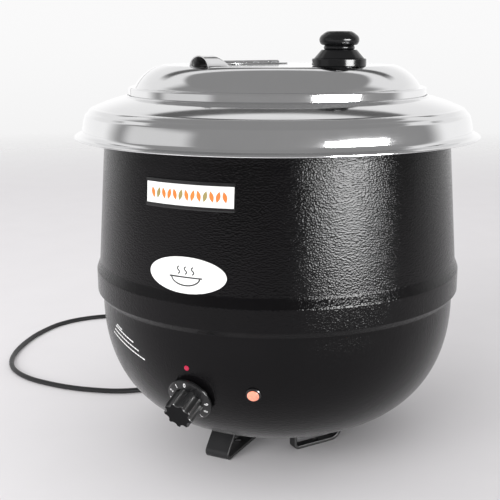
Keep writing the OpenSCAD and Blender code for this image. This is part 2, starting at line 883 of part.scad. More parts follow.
module dial_knob() color("black")
    on_bowl(dial_azimuth, dial_z)
        difference() {
            union() {
                translate([0, 0, skirt_z])
                    rotate_extrude()
                        polygon([
                            [0, 0], [dial_d / 2, 0], [dial_d / 2, 1.8], [dial_d / 2 - 0.8, 2.6],
                            [grip_d / 2, skirt_t], [0, skirt_t]]);
                translate([0, 0, grip_z - 0.4])
                    linear_extrude(grip_h - 0.6)
                        fluted_grip(grip_d / 2);
                translate([0, 0, grip_z + grip_h - 1.1])
                    linear_extrude(1.1)
                        fluted_grip(grip_d / 2 - 0.9);
            }
            translate([0, 0, skirt_z - 1])
                cylinder(h = 3.2, d = 34);
            translate([0, 0, skirt_z - 1])
                cylinder(h = 16, d = shaft_d + 0.04);
        }

module fluted_grip(r) {
    difference() {
        circle(r);
        for (i = [0:grip_flutes - 1])
            rotate(360 * (i + 0.5) / grip_flutes)
                translate([r + 1.2, 0])
                    circle(3.4, $fn = 24);
    }
}

// Strokes round the skirt from 0 at the index to the highest setting
module dial_marks() color("white")
    on_bowl(dial_azimuth, dial_z)
        for (i = [0:dial_marks_n - 1])
            rotate([0, 0, i * dial_turn / (dial_marks_n - 1)])
                translate([0, grip_d / 2 + 3, skirt_z + skirt_t - 0.6])
                    rotate([-15, 0, 0])
                        translate([0, 0, 0.1])
                            cube([i % 3 == 0 ? 1.2 : 0.7, 3.2, 0.5], center = true);

module thermostat_shaft() color("silver")
    on_bowl(dial_azimuth, dial_z)
        translate([0, 0, thermostat_z - 0.7])
            cylinder(h = 20, d = shaft_d);

// ---------------------------------------------------------------- mains cord

module mains_cord() color("black") tube_along(smooth_route(CORD_ROUTE), cord_d, 10);

module cord_tail() color("black") tube_along(smooth_route(CORD_TAIL), cord_d, 10);

// Five turns in two layers, as one solid of their outer shape
module cord_coil() color("black")
    translate(concat(coil_centre, [0]))
        rotate_extrude()
            translate([coil_mid_r, (coil_low + coil_high) / 2])
                round_rectangle(coil_width, coil_high - coil_low, cord_r - 0.3);

module coil_tie() color("dimgray")
    translate([coil_centre[0] - coil_mid_r, coil_centre[1], (coil_low + coil_high) / 2])
        rotate([90, 0, 0])
            linear_extrude(tie_w, center = true)
                difference() {
                    round_rectangle(coil_width + 1 + 2 * tie_t,
                        coil_high - coil_low + 0.15 + 2 * tie_t, cord_r);
                    round_rectangle(coil_width + 1, coil_high - coil_low + 0.15, cord_r - 0.4);
                }

// A moulded plug lying on its side, its cord end towards -X
module plug_body() color("black")
    translate([plug_at[0], plug_at[1], 12.2])
        rotate([0, 90, 0]) {
            linear_extrude(24)
                round_rectangle(24, 26, 8);
            translate([0, 0, 24])
                linear_extrude(4)
                    round_rectangle(23, 25, 7.5);
            translate([0, 0, -20.5])
                difference() {
                    cylinder(h = 20.5, r1 = 5, r2 = 8.5);
                    translate([0, 0, -1])
                        cylinder(h = 8, d = cord_d + 0.4);
                }
        }

module plug_blades() color("goldenrod")
    for (s = [-1, 1])
        translate([plug_at[0] + 28, plug_at[1] + s * 6.35 - 0.75, 12.2 - 5 - 3.2])
            cube([16, 1.5, 6.4]);

module plug_earth_pin() color("goldenrod")
    translate([plug_at[0] + 28, plug_at[1], 12.2 + 5])
        rotate([0, 90, 0])
            cylinder(h = 18, d = 4.8);

// ---------------------------------------------------------------- selection

upper_shell();
lower_bowl();
base_plate();
base_screws();
foot_front();
foot_right();
foot_rear();
foot_left();
foot_screws();
foot_nuts();
water_well();
insulation_jacket();
heater_ring();
heater_plate();
heater_stud();
heater_nut();
thermostat_body();
thermostat_nut();
sensor_bulb();
capillary_tube();
pilot_bezel();
pilot_lens();
pilot_lamp_body();
terminal_block();
wiring();
cord_gland();
gland_nut();
strain_relief();
label_holder();
menu_label();
oval_badge();
index_dot();
top_ring();
inset_pot();
lid_rear_panel();
hinge_rear_leaf();
hinge_pin();
rear_rivets();
lid_front_panel();
hinge_front_leaf();
front_rivets();
ladle_hood();
knob_base();
lid_knob();
knob_screw();
knob_washer();
dial_knob();
dial_marks();
thermostat_shaft();
mains_cord();
cord_coil();
coil_tie();
cord_tail();
plug_body();
plug_blades();
plug_earth_pin();
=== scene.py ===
"""Looks of the soup kettle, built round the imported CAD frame.

Metres, +Z up, the origin on the floor under the kettle's axis. Outlines are written in millimetres.
Azimuths turn from -Y, where the dial is, towards +X.
"""

import json
import math

import bmesh
import bpy
from mathutils import Matrix, Vector


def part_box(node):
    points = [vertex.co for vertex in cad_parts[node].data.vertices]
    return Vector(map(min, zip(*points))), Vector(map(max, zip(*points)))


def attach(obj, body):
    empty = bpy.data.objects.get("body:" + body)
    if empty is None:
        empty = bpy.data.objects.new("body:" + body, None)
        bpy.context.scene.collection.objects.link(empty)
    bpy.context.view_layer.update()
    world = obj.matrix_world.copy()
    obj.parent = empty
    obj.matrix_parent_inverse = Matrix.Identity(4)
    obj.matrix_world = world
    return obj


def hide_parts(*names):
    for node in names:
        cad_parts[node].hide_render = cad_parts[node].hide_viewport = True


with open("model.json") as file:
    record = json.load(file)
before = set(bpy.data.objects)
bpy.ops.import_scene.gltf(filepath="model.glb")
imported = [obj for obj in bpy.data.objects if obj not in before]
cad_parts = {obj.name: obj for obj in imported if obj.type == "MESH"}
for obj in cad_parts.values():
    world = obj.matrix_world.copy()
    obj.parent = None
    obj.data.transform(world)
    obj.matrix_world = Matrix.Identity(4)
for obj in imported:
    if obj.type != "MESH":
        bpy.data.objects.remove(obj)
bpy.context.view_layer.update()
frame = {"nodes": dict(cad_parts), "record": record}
MM = 0.001


# ---- sizes read from the frame


def low(node):
    """Lowest corner of a CAD node, in millimetres."""
    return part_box(node)[0] / MM


def high(node):
    """Highest corner of a CAD node, in millimetres."""
    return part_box(node)[1] / MM


RING_R = high("top_ring").x
LID_R = 124.6
LID_TOP = high("lid_front_panel").z
LID_TURN = -27.0
HINGE_X = 39.0
HINGE_LEN = 60.0
HINGE_Z = LID_TOP + 1.55
RIDGE_R = high("upper_shell").x
SEAM_Z = low("upper_shell").z
CASING_TOP = high("upper_shell").z
BOWL_Z = low("lower_bowl").z
BOWL_TOP = 133.0
BOWL_FLAT_R = 54.8
BOWL_R = 152.1
BOWL_ROUND = 0.88
SHELL_T = 1.2
DIAL_AZ, DIAL_Z = -1.0, 82.0
LAMP_AZ, LAMP_Z = 19.0, 90.5
GLAND_AZ, GLAND_Z = 180.0, 62.0
CORD_D = 5.0
# Edges sharper than these, in degrees, stay crisp on turned shapes and on flat plates
SMOOTH, CRISP = 32.0, 20.0


def bowl_angle(z):
    return math.asin(((BOWL_TOP - z) / (BOWL_TOP - BOWL_Z)) ** (1 / BOWL_ROUND))


def bowl_radius(z):
    return BOWL_FLAT_R + (BOWL_R - BOWL_FLAT_R) * math.cos(bowl_angle(z)) ** BOWL_ROUND


def bowl_tilt(z):
    steep = (BOWL_R - BOWL_FLAT_R) / (BOWL_TOP - BOWL_Z)
    return math.atan(steep * math.tan(bowl_angle(z)) ** (2 - BOWL_ROUND))


def wall_radius(z):
    """Radius of the casing's upper wall."""
    return 146.5 + 7.2 * (262.0 - z) / (262.0 - 166.3)


def on_bowl(azimuth, z):
    """Frame on the bowl with +Z along its outward normal."""
    return (
        Matrix.Rotation(math.radians(azimuth), 4, "Z")
        @ Matrix.Translation((0, -bowl_radius(z) * MM, z * MM))
        @ Matrix.Rotation(math.pi / 2 + bowl_tilt(z), 4, "X")
    )


LID_FRAME = Matrix.Rotation(math.radians(LID_TURN), 4, "Z")


# ---- camera

camera_data = bpy.data.cameras.new("camera")
camera_data.sensor_width = 36.0
camera_data.lens = 63.9
camera_data.shift_x = -0.055
camera_data.clip_end = 50.0
camera = bpy.data.objects.new("camera", camera_data)
bpy.context.scene.collection.objects.link(camera)
CAMERA_AZ = math.radians(26.0)
CAMERA_AWAY = 0.7637
camera.location = (CAMERA_AWAY * math.sin(CAMERA_AZ), -CAMERA_AWAY * math.cos(CAMERA_AZ), 0.3443)
camera.rotation_euler = (math.radians(76.93), 0, CAMERA_AZ)
bpy.context.scene.camera = camera


# ---- mesh helpers


def arc(x, z, radius, start, end, steps):
    """Points of an arc, in degrees."""
    angles = [math.radians(start + (end - start) * i / steps) for i in range(steps + 1)]
    return [(x + radius * math.cos(a), z + radius * math.sin(a)) for a in angles]


def rounded(path, closed=True, steps=5):
    """The path with each corner that carries a radius, its third number, turned into a smooth bend."""
    out = []
    count = len(path)
    for i, point in enumerate(path):
        here = Vector(point[:2])
        radius = point[2] if len(point) > 2 else 0.0
        if radius <= 0 or (not closed and i in (0, count - 1)):
            out.append(here)
            continue
        before = Vector(path[i - 1][:2]) - here
        after = Vector(path[(i + 1) % count][:2]) - here
        angle = before.angle(after)
        reach = min(radius / math.tan(angle / 2), before.length * 0.48, after.length * 0.48)
        a = here + before.normalized() * reach
        b = here + after.normalized() * reach
        for k in range(steps + 1):
            t = k / steps
            out.append(a * (1 - t) ** 2 + here * 2 * t * (1 - t) + b * t * t)
    return out


def supported(path):
    """Extra points near the ends of long straight runs, which keep smooth shading off their flats."""
    out = []
    margin = 0.5
    for p, q in zip(path, path[1:] + path[:1]):
        out.append(p)
        length = (q - p).length
        if length > 4 * margin:
            out += [p.lerp(q, margin / length), p.lerp(q, 1 - margin / length)]
    return out


def in_scene(name, data):
    """A new object in the scene."""
    obj = bpy.data.objects.new(name, data)
    bpy.context.scene.collection.objects.link(obj)
    return obj


def shaded_mesh(name, bm, sharp):
    """An object from a bmesh, smooth apart from edges over sharp degrees."""
    mesh = bpy.data.meshes.new(name)
    bm.to_mesh(mesh)
    bm.free()
    shade(mesh, sharp)
    return in_scene(name, mesh)


def shade(mesh, sharp):
    mesh.polygons.foreach_set("use_smooth", [True] * len(mesh.polygons))
    mesh.set_sharp_from_angle(angle=math.radians(sharp))


def mesh_piece(name, verts, faces):
    """A smooth-shaded mesh object from points in metres."""
    mesh = bpy.data.meshes.new(name)
    mesh.from_pydata([tuple(v) for v in verts], [], faces)
    bm = bmesh.new()
    bm.from_mesh(mesh)
    bmesh.ops.recalc_face_normals(bm, faces=bm.faces[:])
    bpy.data.meshes.remove(mesh)
    return shaded_mesh(name, bm, SMOOTH)


def lathe(name, path, segments, place=Matrix(), closed=True):
    """Turns an outline of (radius, height) round the +Z axis of its place."""
    verts, rings, faces = [], [], []
    angles = [2 * math.pi * k / segments for k in range(segments)]
    for p in path:
        r, z = p[0] * MM, p[1] * MM
        if p[0] < 1e-4:
            rings.append([len(verts)] * segments)
            verts.append(place @ Vector((0, 0, z)))
            continue
        rings.append(range(len(verts), len(verts) + segments))
        verts += [place @ Vector((r * math.cos(a), r * math.sin(a), z)) for a in angles]
    count = len(rings)
    for i in range(count if closed else count - 1):
        a, b = rings[i], rings[(i + 1) % count]
        for k in range(segments):
            n = (k + 1) % segments
            face = list(dict.fromkeys((a[k], a[n], b[n], b[k])))
            if len(face) > 2:
                faces.append(face)
    return mesh_piece(name, verts, faces)


def drill(radius, z0, z1, segments, place):
    """A round cutter from z0 to z1 of its place."""
    return lathe("drill", [(0, z0), (radius, z0), (radius, z1), (0, z1)], segments, place)


def shift(x, y, z):
    """A move in millimetres."""
    return Matrix.Translation(Vector((x, y, z)) * MM)


def loft(name, rows, place=Matrix(), ring=True, loop=False):
    """Skin over rows of points in millimetres.

    ring joins each row's ends, loop joins the last row to the first.
    """
    width = len(rows[0])
    verts = [place @ (Vector(p) * MM) for row in rows for p in row]
    faces = []
    for i in range(len(rows) if loop else len(rows) - 1):
        a, b = i * width, ((i + 1) % len(rows)) * width
        for k in range(width if ring else width - 1):
            n = (k + 1) % width
            faces.append((a + k, a + n, b + n, b + k))
    if ring and not loop:
        faces.append(tuple(range(width)))
        faces.append(tuple(range((len(rows) - 1) * width, len(rows) * width)))
    return mesh_piece(name, verts, faces)


def block(name, size, centre, place=Matrix(), bevel=0.0):
    """A box with rounded edges, sizes in millimetres."""
    bm = bmesh.new()
    bmesh.ops.create_cube(bm, size=1.0)
    for v in bm.verts:
        v.co = [(unit * side + middle) * MM for unit, side, middle in zip(v.co, size, centre)]
    if bevel:
        bmesh.ops.bevel(bm, geom=bm.edges[:], offset=bevel * MM, segments=3, profile=0.5, affect="EDGES")
    bm.transform(place)
    return shaded_mesh(name, bm, CRISP)


def settled(obj, sharp=SMOOTH):
    """Applies the object's modifiers to its mesh."""
    graph = bpy.context.evaluated_depsgraph_get()
    mesh = bpy.data.meshes.new_from_object(obj.evaluated_get(graph))
    obj.modifiers.clear()
    obj.data = mesh
    shade(mesh, sharp)
    return obj


def cut(obj, *tools, keep=False, sharp=SMOOTH):
    """Takes the tools' volume away from the object, or keeps only what is inside them."""
    for tool in tools:
        change = obj.modifiers.new("cut", "BOOLEAN")
        change.operation = "INTERSECT" if keep else "DIFFERENCE"
        change.solver = "EXACT"
        change.object = tool
    settled(obj, sharp)
    for tool in tools:
        bpy.data.objects.remove(tool)
    return obj


def joined(name, parts, sharp=SMOOTH):
    """One object from several."""
    bm = bmesh.new()
    for part in parts:
        bm.from_mesh(part.data)
        bpy.data.objects.remove(part)
    return shaded_mesh(name, bm, sharp)


def stroke(points, width, ends=6):
    """A flat ribbon with round ends along points in the plane, as (points, faces)."""
    path = [Vector(p) for p in points]
    verts, faces = [], []
    for i, p in enumerate(path):
        along = (path[min(i + 1, len(path) - 1)] - path[max(i - 1, 0)]).normalized()
        side = Vector((-along.y, along.x)) * width / 2
        verts += [p + side, p - side]
        if i:
            faces.append((2 * i - 2, 2 * i - 1, 2 * i + 1, 2 * i))
    for i, step in ((0, 1), (len(path) - 1, -1)):
        p = path[i]
        along = (path[i + step] - p).normalized()
        side = Vector((-along.y, along.x))
        face = [2 * i, 2 * i + 1] if step == 1 else [2 * i + 1, 2 * i]
        for k in range(1, ends):
            a = math.pi * k / ends
            face.append(len(verts))
            verts.append(p - along * math.sin(a) * width / 2 - side * math.cos(a) * width / 2)
        faces.append(tuple(face))
    return verts, faces


def bar(x0, x1, z, width):
    """A straight ribbon in short steps, which follows a curved wall."""
    steps = max(2, round(abs(x1 - x0) / 2))
    return stroke([(x0 + (x1 - x0) * i / steps, z) for i in range(steps + 1)], width)


def oval(a, b):
    """A filled oval as (points, faces)."""
    rings, around = 6, 72
    verts, faces = [Vector((0, 0))], []
    angles = [2 * math.pi * k / around for k in range(around)]
    for r in range(1, rings + 1):
        verts += [Vector((a * r / rings * math.cos(t), b * r / rings * math.sin(t))) for t in angles]
    for k in range(around):
        n = (k + 1) % around
        faces.append((0, 1 + k, 1 + n))
        for r in range(rings - 1):
            i, j = 1 + r * around, 1 + (r + 1) * around
            faces.append((i + k, j + k, j + n, i + n))
    return verts, faces


def emboss(name, shapes, surface, bottom, top):
    """Thin raised shapes on a surface. surface(x, y, lift) gives a point in millimetres."""
    verts, faces = [], []
    for flat, flat_faces in shapes:
        start, count = len(verts), len(flat)
        verts += [Vector(surface(p[0], p[1], bottom)) * MM for p in flat]
        verts += [Vector(surface(p[0], p[1], top)) * MM for p in flat]
        uses = {}
        for face in flat_faces:
            faces.append(tuple(start + i for i in reversed(face)))
            faces.append(tuple(start + count + i for i in face))
            for i, j in zip(face, face[1:] + face[:1]):
                uses.setdefault(frozenset((i, j)), []).append((i, j))
        for pairs in uses.values():
            if len(pairs) == 1:
                i, j = pairs[0]
                faces.append((start + i, start + j, start + count + j, start + count + i))
    return mesh_piece(name, verts, faces)


def smooth_route(points, steps):
    """Catmull-Rom points through the route."""
    p = [Vector(q) for q in points]
    out = []
    for i in range(len(p) - 1):
        a, b, c, d = p[max(i - 1, 0)], p[i], p[i + 1], p[min(i + 2, len(p) - 1)]
        for k in range(steps):
            t = k / steps
            curved = (2 * a - 5 * b + 4 * c - d) * t * t + (3 * b - a - 3 * c + d) * t**3
            out.append(0.5 * (2 * b + (c - a) * t + curved))
    out.append(p[-1])
    return out


# ---- materials


class Nodes:
    """Short ways to add shader nodes to a material or a world."""

    def __init__(self, owner):
        owner.use_nodes = True
        self.tree = owner.node_tree

    def add(self, kind, **values):
        node = self.tree.nodes.new(kind)
        for key, value in values.items():
            setattr(node, key, value)
        return node

    def link(self, a, b):
        self.tree.links.new(a, b)

    def range(self, value, a, b, to_a, to_b, smooth=False):
        node = self.add("ShaderNodeMapRange")
        if smooth:
            node.interpolation_type = "SMOOTHSTEP"
        for key, number in zip(("From Min", "From Max", "To Min", "To Max"), (a, b, to_a, to_b)):
            node.inputs[key].default_value = number
        self.link(value, node.inputs["Value"])
        return node.outputs["Result"]

    def math(self, kind, a, b=0.0):
        node = self.add("ShaderNodeMath", operation=kind)
        for socket, value in zip(node.inputs, (a, b)):
            if isinstance(value, (int, float)):
                socket.default_value = value
            else:
                self.link(value, socket)
        return node.outputs[0]


class Finish(Nodes):
    """A material under way."""

    def __init__(self, name):
        self.material = bpy.data.materials.new(name)
        super().__init__(self.material)
        self.shader = self.tree.nodes["Principled BSDF"]
        self.place = self.add("ShaderNodeTexCoord").outputs["Object"]

    def noise(self, size, detail=3.0, rough=0.5, vector=None):
        """Noise whose features are about size millimetres."""
        node = self.add("ShaderNodeTexNoise")
        node.inputs["Scale"].default_value = 1.0 / (size * MM)
        node.inputs["Detail"].default_value = detail
        node.inputs["Roughness"].default_value = rough
        self.link(vector or self.place, node.inputs["Vector"])
        return node.outputs["Fac"]

    def mix(self, factor, a, b):
        node = self.add("ShaderNodeMix", data_type="RGBA")
        self.link(factor, node.inputs["Factor"])
        for key, value in (("A", a), ("B", b)):
            socket = [s for s in node.inputs if s.name == key and s.type == "RGBA"][0]
            socket.default_value = (*value, 1.0)
        return [s for s in node.outputs if s.type == "RGBA"][0]

    def bump(self, height, depth, under=None):
        """Relief of a depth in millimetres, over another relief."""
        node = self.add("ShaderNodeBump")
        node.inputs["Strength"].default_value = 1.0
        node.inputs["Distance"].default_value = depth * MM
        self.link(height, node.inputs["Height"])
        if under:
            self.link(under, node.inputs["Normal"])
        return node.outputs["Normal"]

    def finish(self, colour, rough, normal, **constants):
        for key, value in (("Base Color", colour), ("Roughness", rough), ("Normal", normal)):
            if isinstance(value, float):
                self.shader.inputs[key].default_value = value
            else:
                self.link(value, self.shader.inputs[key])
        for key, value in constants.items():
            self.shader.inputs[key.replace("_", " ")].default_value = value
        return self.material


def shaded(colour, share):
    return tuple(c * share for c in colour)


def plain_finish(
    name, colour, rough, spread=0.05, tint=0.12, patch=25.0, grain=0.6, depth=0.01, **constants
):
    """A finish with soft colour and gloss variation and a fine grain."""
    n = Finish(name)
    cloud = n.noise(patch, 3.0)
    fine = n.noise(grain, 2.0)
    base = n.mix(cloud, shaded(colour, 1 - tint), shaded(colour, 1 + tint))
    gloss = n.range(n.noise(patch * 0.4, 4.0), 0.3, 0.7, rough - spread, rough + spread)
    return n.finish(base, gloss, n.bump(fine, depth), **constants)


def hammered_finish():
    """Dark paint with small uneven dimples, glossy enough to sparkle in a soft light."""
    n = Finish("hammered_black")
    cell = n.add("ShaderNodeTexVoronoi")
    cell.inputs["Scale"].default_value = 1.0 / (1.35 * MM)
    n.link(n.place, cell.inputs["Vector"])
    dimple = n.bump(cell.outputs["Distance"], 0.17)
    fleck = n.noise(1.15, 1.0)
    fine = n.bump(fleck, 0.085, under=dimple)
    base = n.mix(n.noise(40.0, 3.0), (0.0013, 0.0011, 0.0014), (0.0029, 0.0025, 0.0031))
    gloss = n.range(fleck, 0.38, 0.62, 0.21, 0.13)
    return n.finish(base, gloss, fine, Specular_IOR_Level=0.15, Sheen_Weight=0.12, Sheen_Roughness=0.38)


def turned_steel(name, colour, rough, spread, line, depth):
    """Steel with faint marks that run round the axis, and cloudy wiping marks."""
    n = Finish(name)
    split = n.add("ShaderNodeSeparateXYZ")
    n.link(n.place, split.inputs[0])
    x, y, z = split.outputs
    radius = n.math("POWER", n.math("ADD", n.math("POWER", x, 2.0), n.math("POWER", y, 2.0)), 0.5)
    turn = n.add("ShaderNodeCombineXYZ")
    n.link(radius, turn.inputs[0])
    n.link(z, turn.inputs[1])
    n.link(n.math("MULTIPLY", n.math("ARCTAN2", y, x), 0.004), turn.inputs[2])
    lines = n.noise(line, 2.0, vector=turn.outputs[0])
    cloud = n.noise(45.0, 4.0, 0.6)
    base = n.mix(cloud, shaded(colour, 0.94), shaded(colour, 1.04))
    gloss = n.math(
        "ADD",
        n.range(cloud, 0.35, 0.65, rough - spread, rough + spread),
        n.range(lines, 0.3, 0.7, -spread / 2, spread / 2),
    )
    return n.finish(base, gloss, n.bump(lines, depth), Metallic=1.0)


def wool_finish():
    n = Finish("glass_wool")
    stretch = n.add("ShaderNodeMapping")
    stretch.inputs["Scale"].default_value = (1.0, 1.0, 5.0)
    n.link(n.place, stretch.inputs["Vector"])
    fibre = n.noise(3.0, 8.0, 0.75, stretch.outputs[0])
    base = n.mix(fibre, (0.55, 0.47, 0.24), (0.86, 0.8, 0.56))
    return n.finish(base, 0.9, n.bump(fibre, 1.2), Sheen_Weight=0.4)


# Colour, roughness, then its spread, the tint's spread, patch and grain size, and relief depth
METALS = {
    "plated_steel": ((0.56, 0.57, 0.58), 0.3, 0.08),
    "heater_steel": ((0.28, 0.27, 0.26), 0.45, 0.1, 0.3, 12.0),
    "aluminium_plate": ((0.7, 0.71, 0.72), 0.35, 0.08),
    "copper": ((0.66, 0.33, 0.2), 0.3, 0.08, 0.2),
    "brass_contacts": ((0.72, 0.52, 0.24), 0.26, 0.06, 0.1, 9.0),
}
PLASTICS = {
    "black_strap": ((0.016, 0.016, 0.017), 0.42, 0.06, 0.3, 9.0, 0.9, 0.03),
    "black_plastic": ((0.009, 0.009, 0.0095), 0.2, 0.05, 0.25, 14.0, 0.5, 0.006),
    "white_moulding": ((0.74, 0.72, 0.66), 0.5, 0.05, 0.05),
    "wire_sleeve": ((0.36, 0.05, 0.04), 0.55, 0.05, 0.15, 8.0),
    "label_card": ((0.88, 0.88, 0.87), 0.35, 0.05, 0.02, 20.0, 0.3, 0.004),
    "red_enamel": ((0.45, 0.008, 0.05), 0.22, 0.04, 0.1, 3.0),
    "white_print": ((0.78, 0.78, 0.78), 0.45, 0.05, 0.05, 6.0, 0.3, 0.004),
    "cord_jacket": ((0.014, 0.014, 0.015), 0.48, 0.06, 0.25, 12.0, 0.6, 0.02),
    "tie_plastic": ((0.03, 0.03, 0.03), 0.5, 0.06, 0.3, 5.0, 0.5, 0.05),
    "print_orange": ((0.72, 0.2, 0.03), 0.4, 0.05, 0.2, 14.0, 0.3, 0.004),
    "print_green": ((0.3, 0.24, 0.08), 0.4, 0.05, 0.2, 14.0, 0.3, 0.004),
    "print_black": ((0.012, 0.012, 0.013), 0.4, 0.05, 0.2, 10.0, 0.3, 0.004),
}
FINISHES = {
    "hammered_black": hammered_finish(),
    "polished_steel": turned_steel("polished_steel", (0.74, 0.74, 0.745), 0.09, 0.02, 0.5, 0.0015),
    "well_steel": turned_steel("well_steel", (0.62, 0.62, 0.63), 0.24, 0.05, 0.5, 0.006),
    "brushed_steel": turned_steel("brushed_steel", (0.8, 0.8, 0.8), 0.5, 0.06, 0.6, 0.01),
    "lamp_lens": plain_finish(
        "lamp_lens", (0.88, 0.3, 0.2), 0.26, 0.04, 0.08, 4.0, 0.8, 0.02,
        Subsurface_Weight=0.3, Subsurface_Scale=0.002, Coat_Weight=0.4,
        Emission_Color=(1.0, 0.34, 0.22, 1.0), Emission_Strength=0.28,
    ),
    "grip_side": plain_finish(
        "grip_side", (0.014, 0.014, 0.0145), 0.32, 0.05, 0.2, 9.0, 0.5, 0.01, Specular_IOR_Level=1.0
    ),
    "grip_end": plain_finish(
        "grip_end", (0.006, 0.006, 0.0065), 0.75, 0.05, 0.2, 9.0, 0.5, 0.02, Specular_IOR_Level=0.12
    ),
    "knob_black": plain_finish(
        "knob_black", (0.007, 0.007, 0.0075), 0.19, 0.04, 0.25, 14.0, 0.5, 0.005, Specular_IOR_Level=0.26
    ),
    "glass_wool": wool_finish(),
}
FINISHES.update({name: plain_finish(name, *look, Metallic=1.0) for name, look in METALS.items()})
FINISHES.update({name: plain_finish(name, *look) for name, look in PLASTICS.items()})

SLOT_OF = {s["node"] if "node" in s else s["name"]: s["material_slot"] for s in frame["record"]["subparts"]}
for node_name, node in frame["nodes"].items():
    node.data.materials.clear()
    node.data.materials.append(FINISHES[SLOT_OF[node_name]])


def dress(obj, body, slot, *nodes, finish=None):
    """Gives a piece its body and its slot's finish or another, and hides the CAD nodes it stands for."""
    obj.data.materials.clear()
    obj.data.materials.append(FINISHES[finish or slot])
    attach(obj, body)
    if nodes:
        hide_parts(*nodes)
    return obj


# ---- mains cord

CORD_ROUTE = [
    (0, 160.2, 43), (0, 171, 36), (0, 182, 28.2), (0, 190.5, 21), (0, 198.5, 13.8),
    (-0.5, 206.5, 8), (-3, 215, 4.4), (-9, 223.5, 2.8), (-20, 230, 2.6), (-34, 230.5, 2.6),
    (-50, 223, 2.6), (-66, 209, 2.6), (-80, 189, 2.6), (-92, 164, 2.6), (-103, 137, 2.6),
    (-112, 109, 2.6), (-121, 81, 2.6), (-132, 54, 2.6), (-145, 31, 2.6), (-161, 12, 2.6),
    (-180, -1, 2.6), (-203, -9, 2.6), (-229, -14, 2.6), (-255, -15, 2.6),
    (-280, -13, 2.6), (-303, -6, 2.6), (-322, 5, 2.6), (-339, 22, 2.6), (-353, 44, 2.6),
    (-364, 69, 2.6), (-372, 95, 2.6), (-376, 121, 2.6), (-376, 147, 2.6), (-368, 171, 2.6),
    (-353, 192, 2.6), (-332, 209, 2.6), (-306, 221, 2.6), (-276, 230, 2.6),
    (-245, 235.5, 2.6), (-213, 237, 2.8), (-182, 236.5, 3.4),
]
CORD_END = [
    (-157, 238.8, 7.9), (-148, 238.9, 8.5), (-139, 238.5, 9.8), (-130, 238.1, 11.4), (-121.5, 238, 12.2)
]
COIL_CENTRE = Vector((-166.0, 203.0))
COIL_LOW_Z = 3.4


def coil_points():
    """Three turns that spiral inwards on the floor and two that spiral back out on top of them."""
    points, around = [], 30
    for turn in range(5):
        for k in range(around):
            share = k / around
            t = max(0.0, (share - 0.5) / 0.5)
            f = t * t * (3 - 2 * t)
            first, second = 33.0 - 5 * f, 28.0 - 5 * f
            if turn < 2:
                r, z = (first, second)[turn], COIL_LOW_Z
            elif turn == 2:
                roll = math.radians(180 - 120 * f)
                r = second + CORD_D * math.cos(roll)
                z = COIL_LOW_Z + CORD_D * math.sin(roll)
            else:
                r = 25.5 + 5 * (turn - 3) + 5 * f
                nearest = min(abs(r - under) for under in (first, second, 33.0))
                z = COIL_LOW_Z + math.sqrt(CORD_D**2 - min(nearest, 2.5) ** 2)
            a = math.radians(90 - 360 * share)
            points.append((COIL_CENTRE.x + r * math.cos(a), COIL_CENTRE.y + r * math.sin(a), z))
    points.append((COIL_CENTRE.x, COIL_CENTRE.y + 35.5, COIL_LOW_Z + 4.33))
    return points


def cord_piece():
    points = smooth_route(CORD_ROUTE + coil_points() + CORD_END, 4)
    curve = bpy.data.curves.new("mains_lead", "CURVE")
    curve.dimensions = "3D"
    curve.bevel_depth = CORD_D / 2 * MM
    curve.bevel_resolution = 5
    curve.use_fill_caps = True
    spline = curve.splines.new("POLY")
    spline.points.add(len(points) - 1)
    for i, p in enumerate(points):
        spline.points[i].co = (*(p * MM), 1.0)
    spline.use_smooth = True
    return in_scene("mains_lead", curve)


lead = cord_piece()
lead.data.materials.append(FINISHES["cord_jacket"])
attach(lead, "kettle")
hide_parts("mains_cord", "cord_coil", "cord_tail")


def relief_outline():
    """A tapered sleeve with rings cut into it."""
    path = [(2.7, 0.05), (6.5, 0.05, 0.4), (6.5, 4, 0.8), (5.3, 5.6, 0.6)]
    for i in range(5):
        z = 8.2 + 4.2 * i
        r = 5.3 - 1.7 * (z - 5.6) / 24.4
        path += [(r, z, 0.3), (r - 1.2, z + 0.5, 0.3), (r - 1.25, z + 1.9, 0.3), (r - 0.15, z + 2.4, 0.3)]
    path += [(3.7, 29.6, 0.4), (3.3, 30.0, 0.3), (2.7, 30.0)]
    return rounded(path)


RELIEF_PLACE = on_bowl(GLAND_AZ, GLAND_Z) @ shift(0, 0, 3)
relief = dress(
    lathe("relief_sleeve", relief_outline(), 48, RELIEF_PLACE),
    "kettle", "black_plastic", "strain_relief",
)


def plug_row(x, half_y, half_z, corner):
    """A rounded rectangle across the plug's length."""
    power = 2.0 / corner
    row, count = [], 48
    for k in range(count):
        a = 2 * math.pi * (k + 0.5) / count
        c, s = math.cos(a), math.sin(a)
        y = math.copysign(abs(c) ** (2 / power), c) * half_y
        z = math.copysign(abs(s) ** (2 / power), s) * half_z
        row.append((x, y, z))
    return row


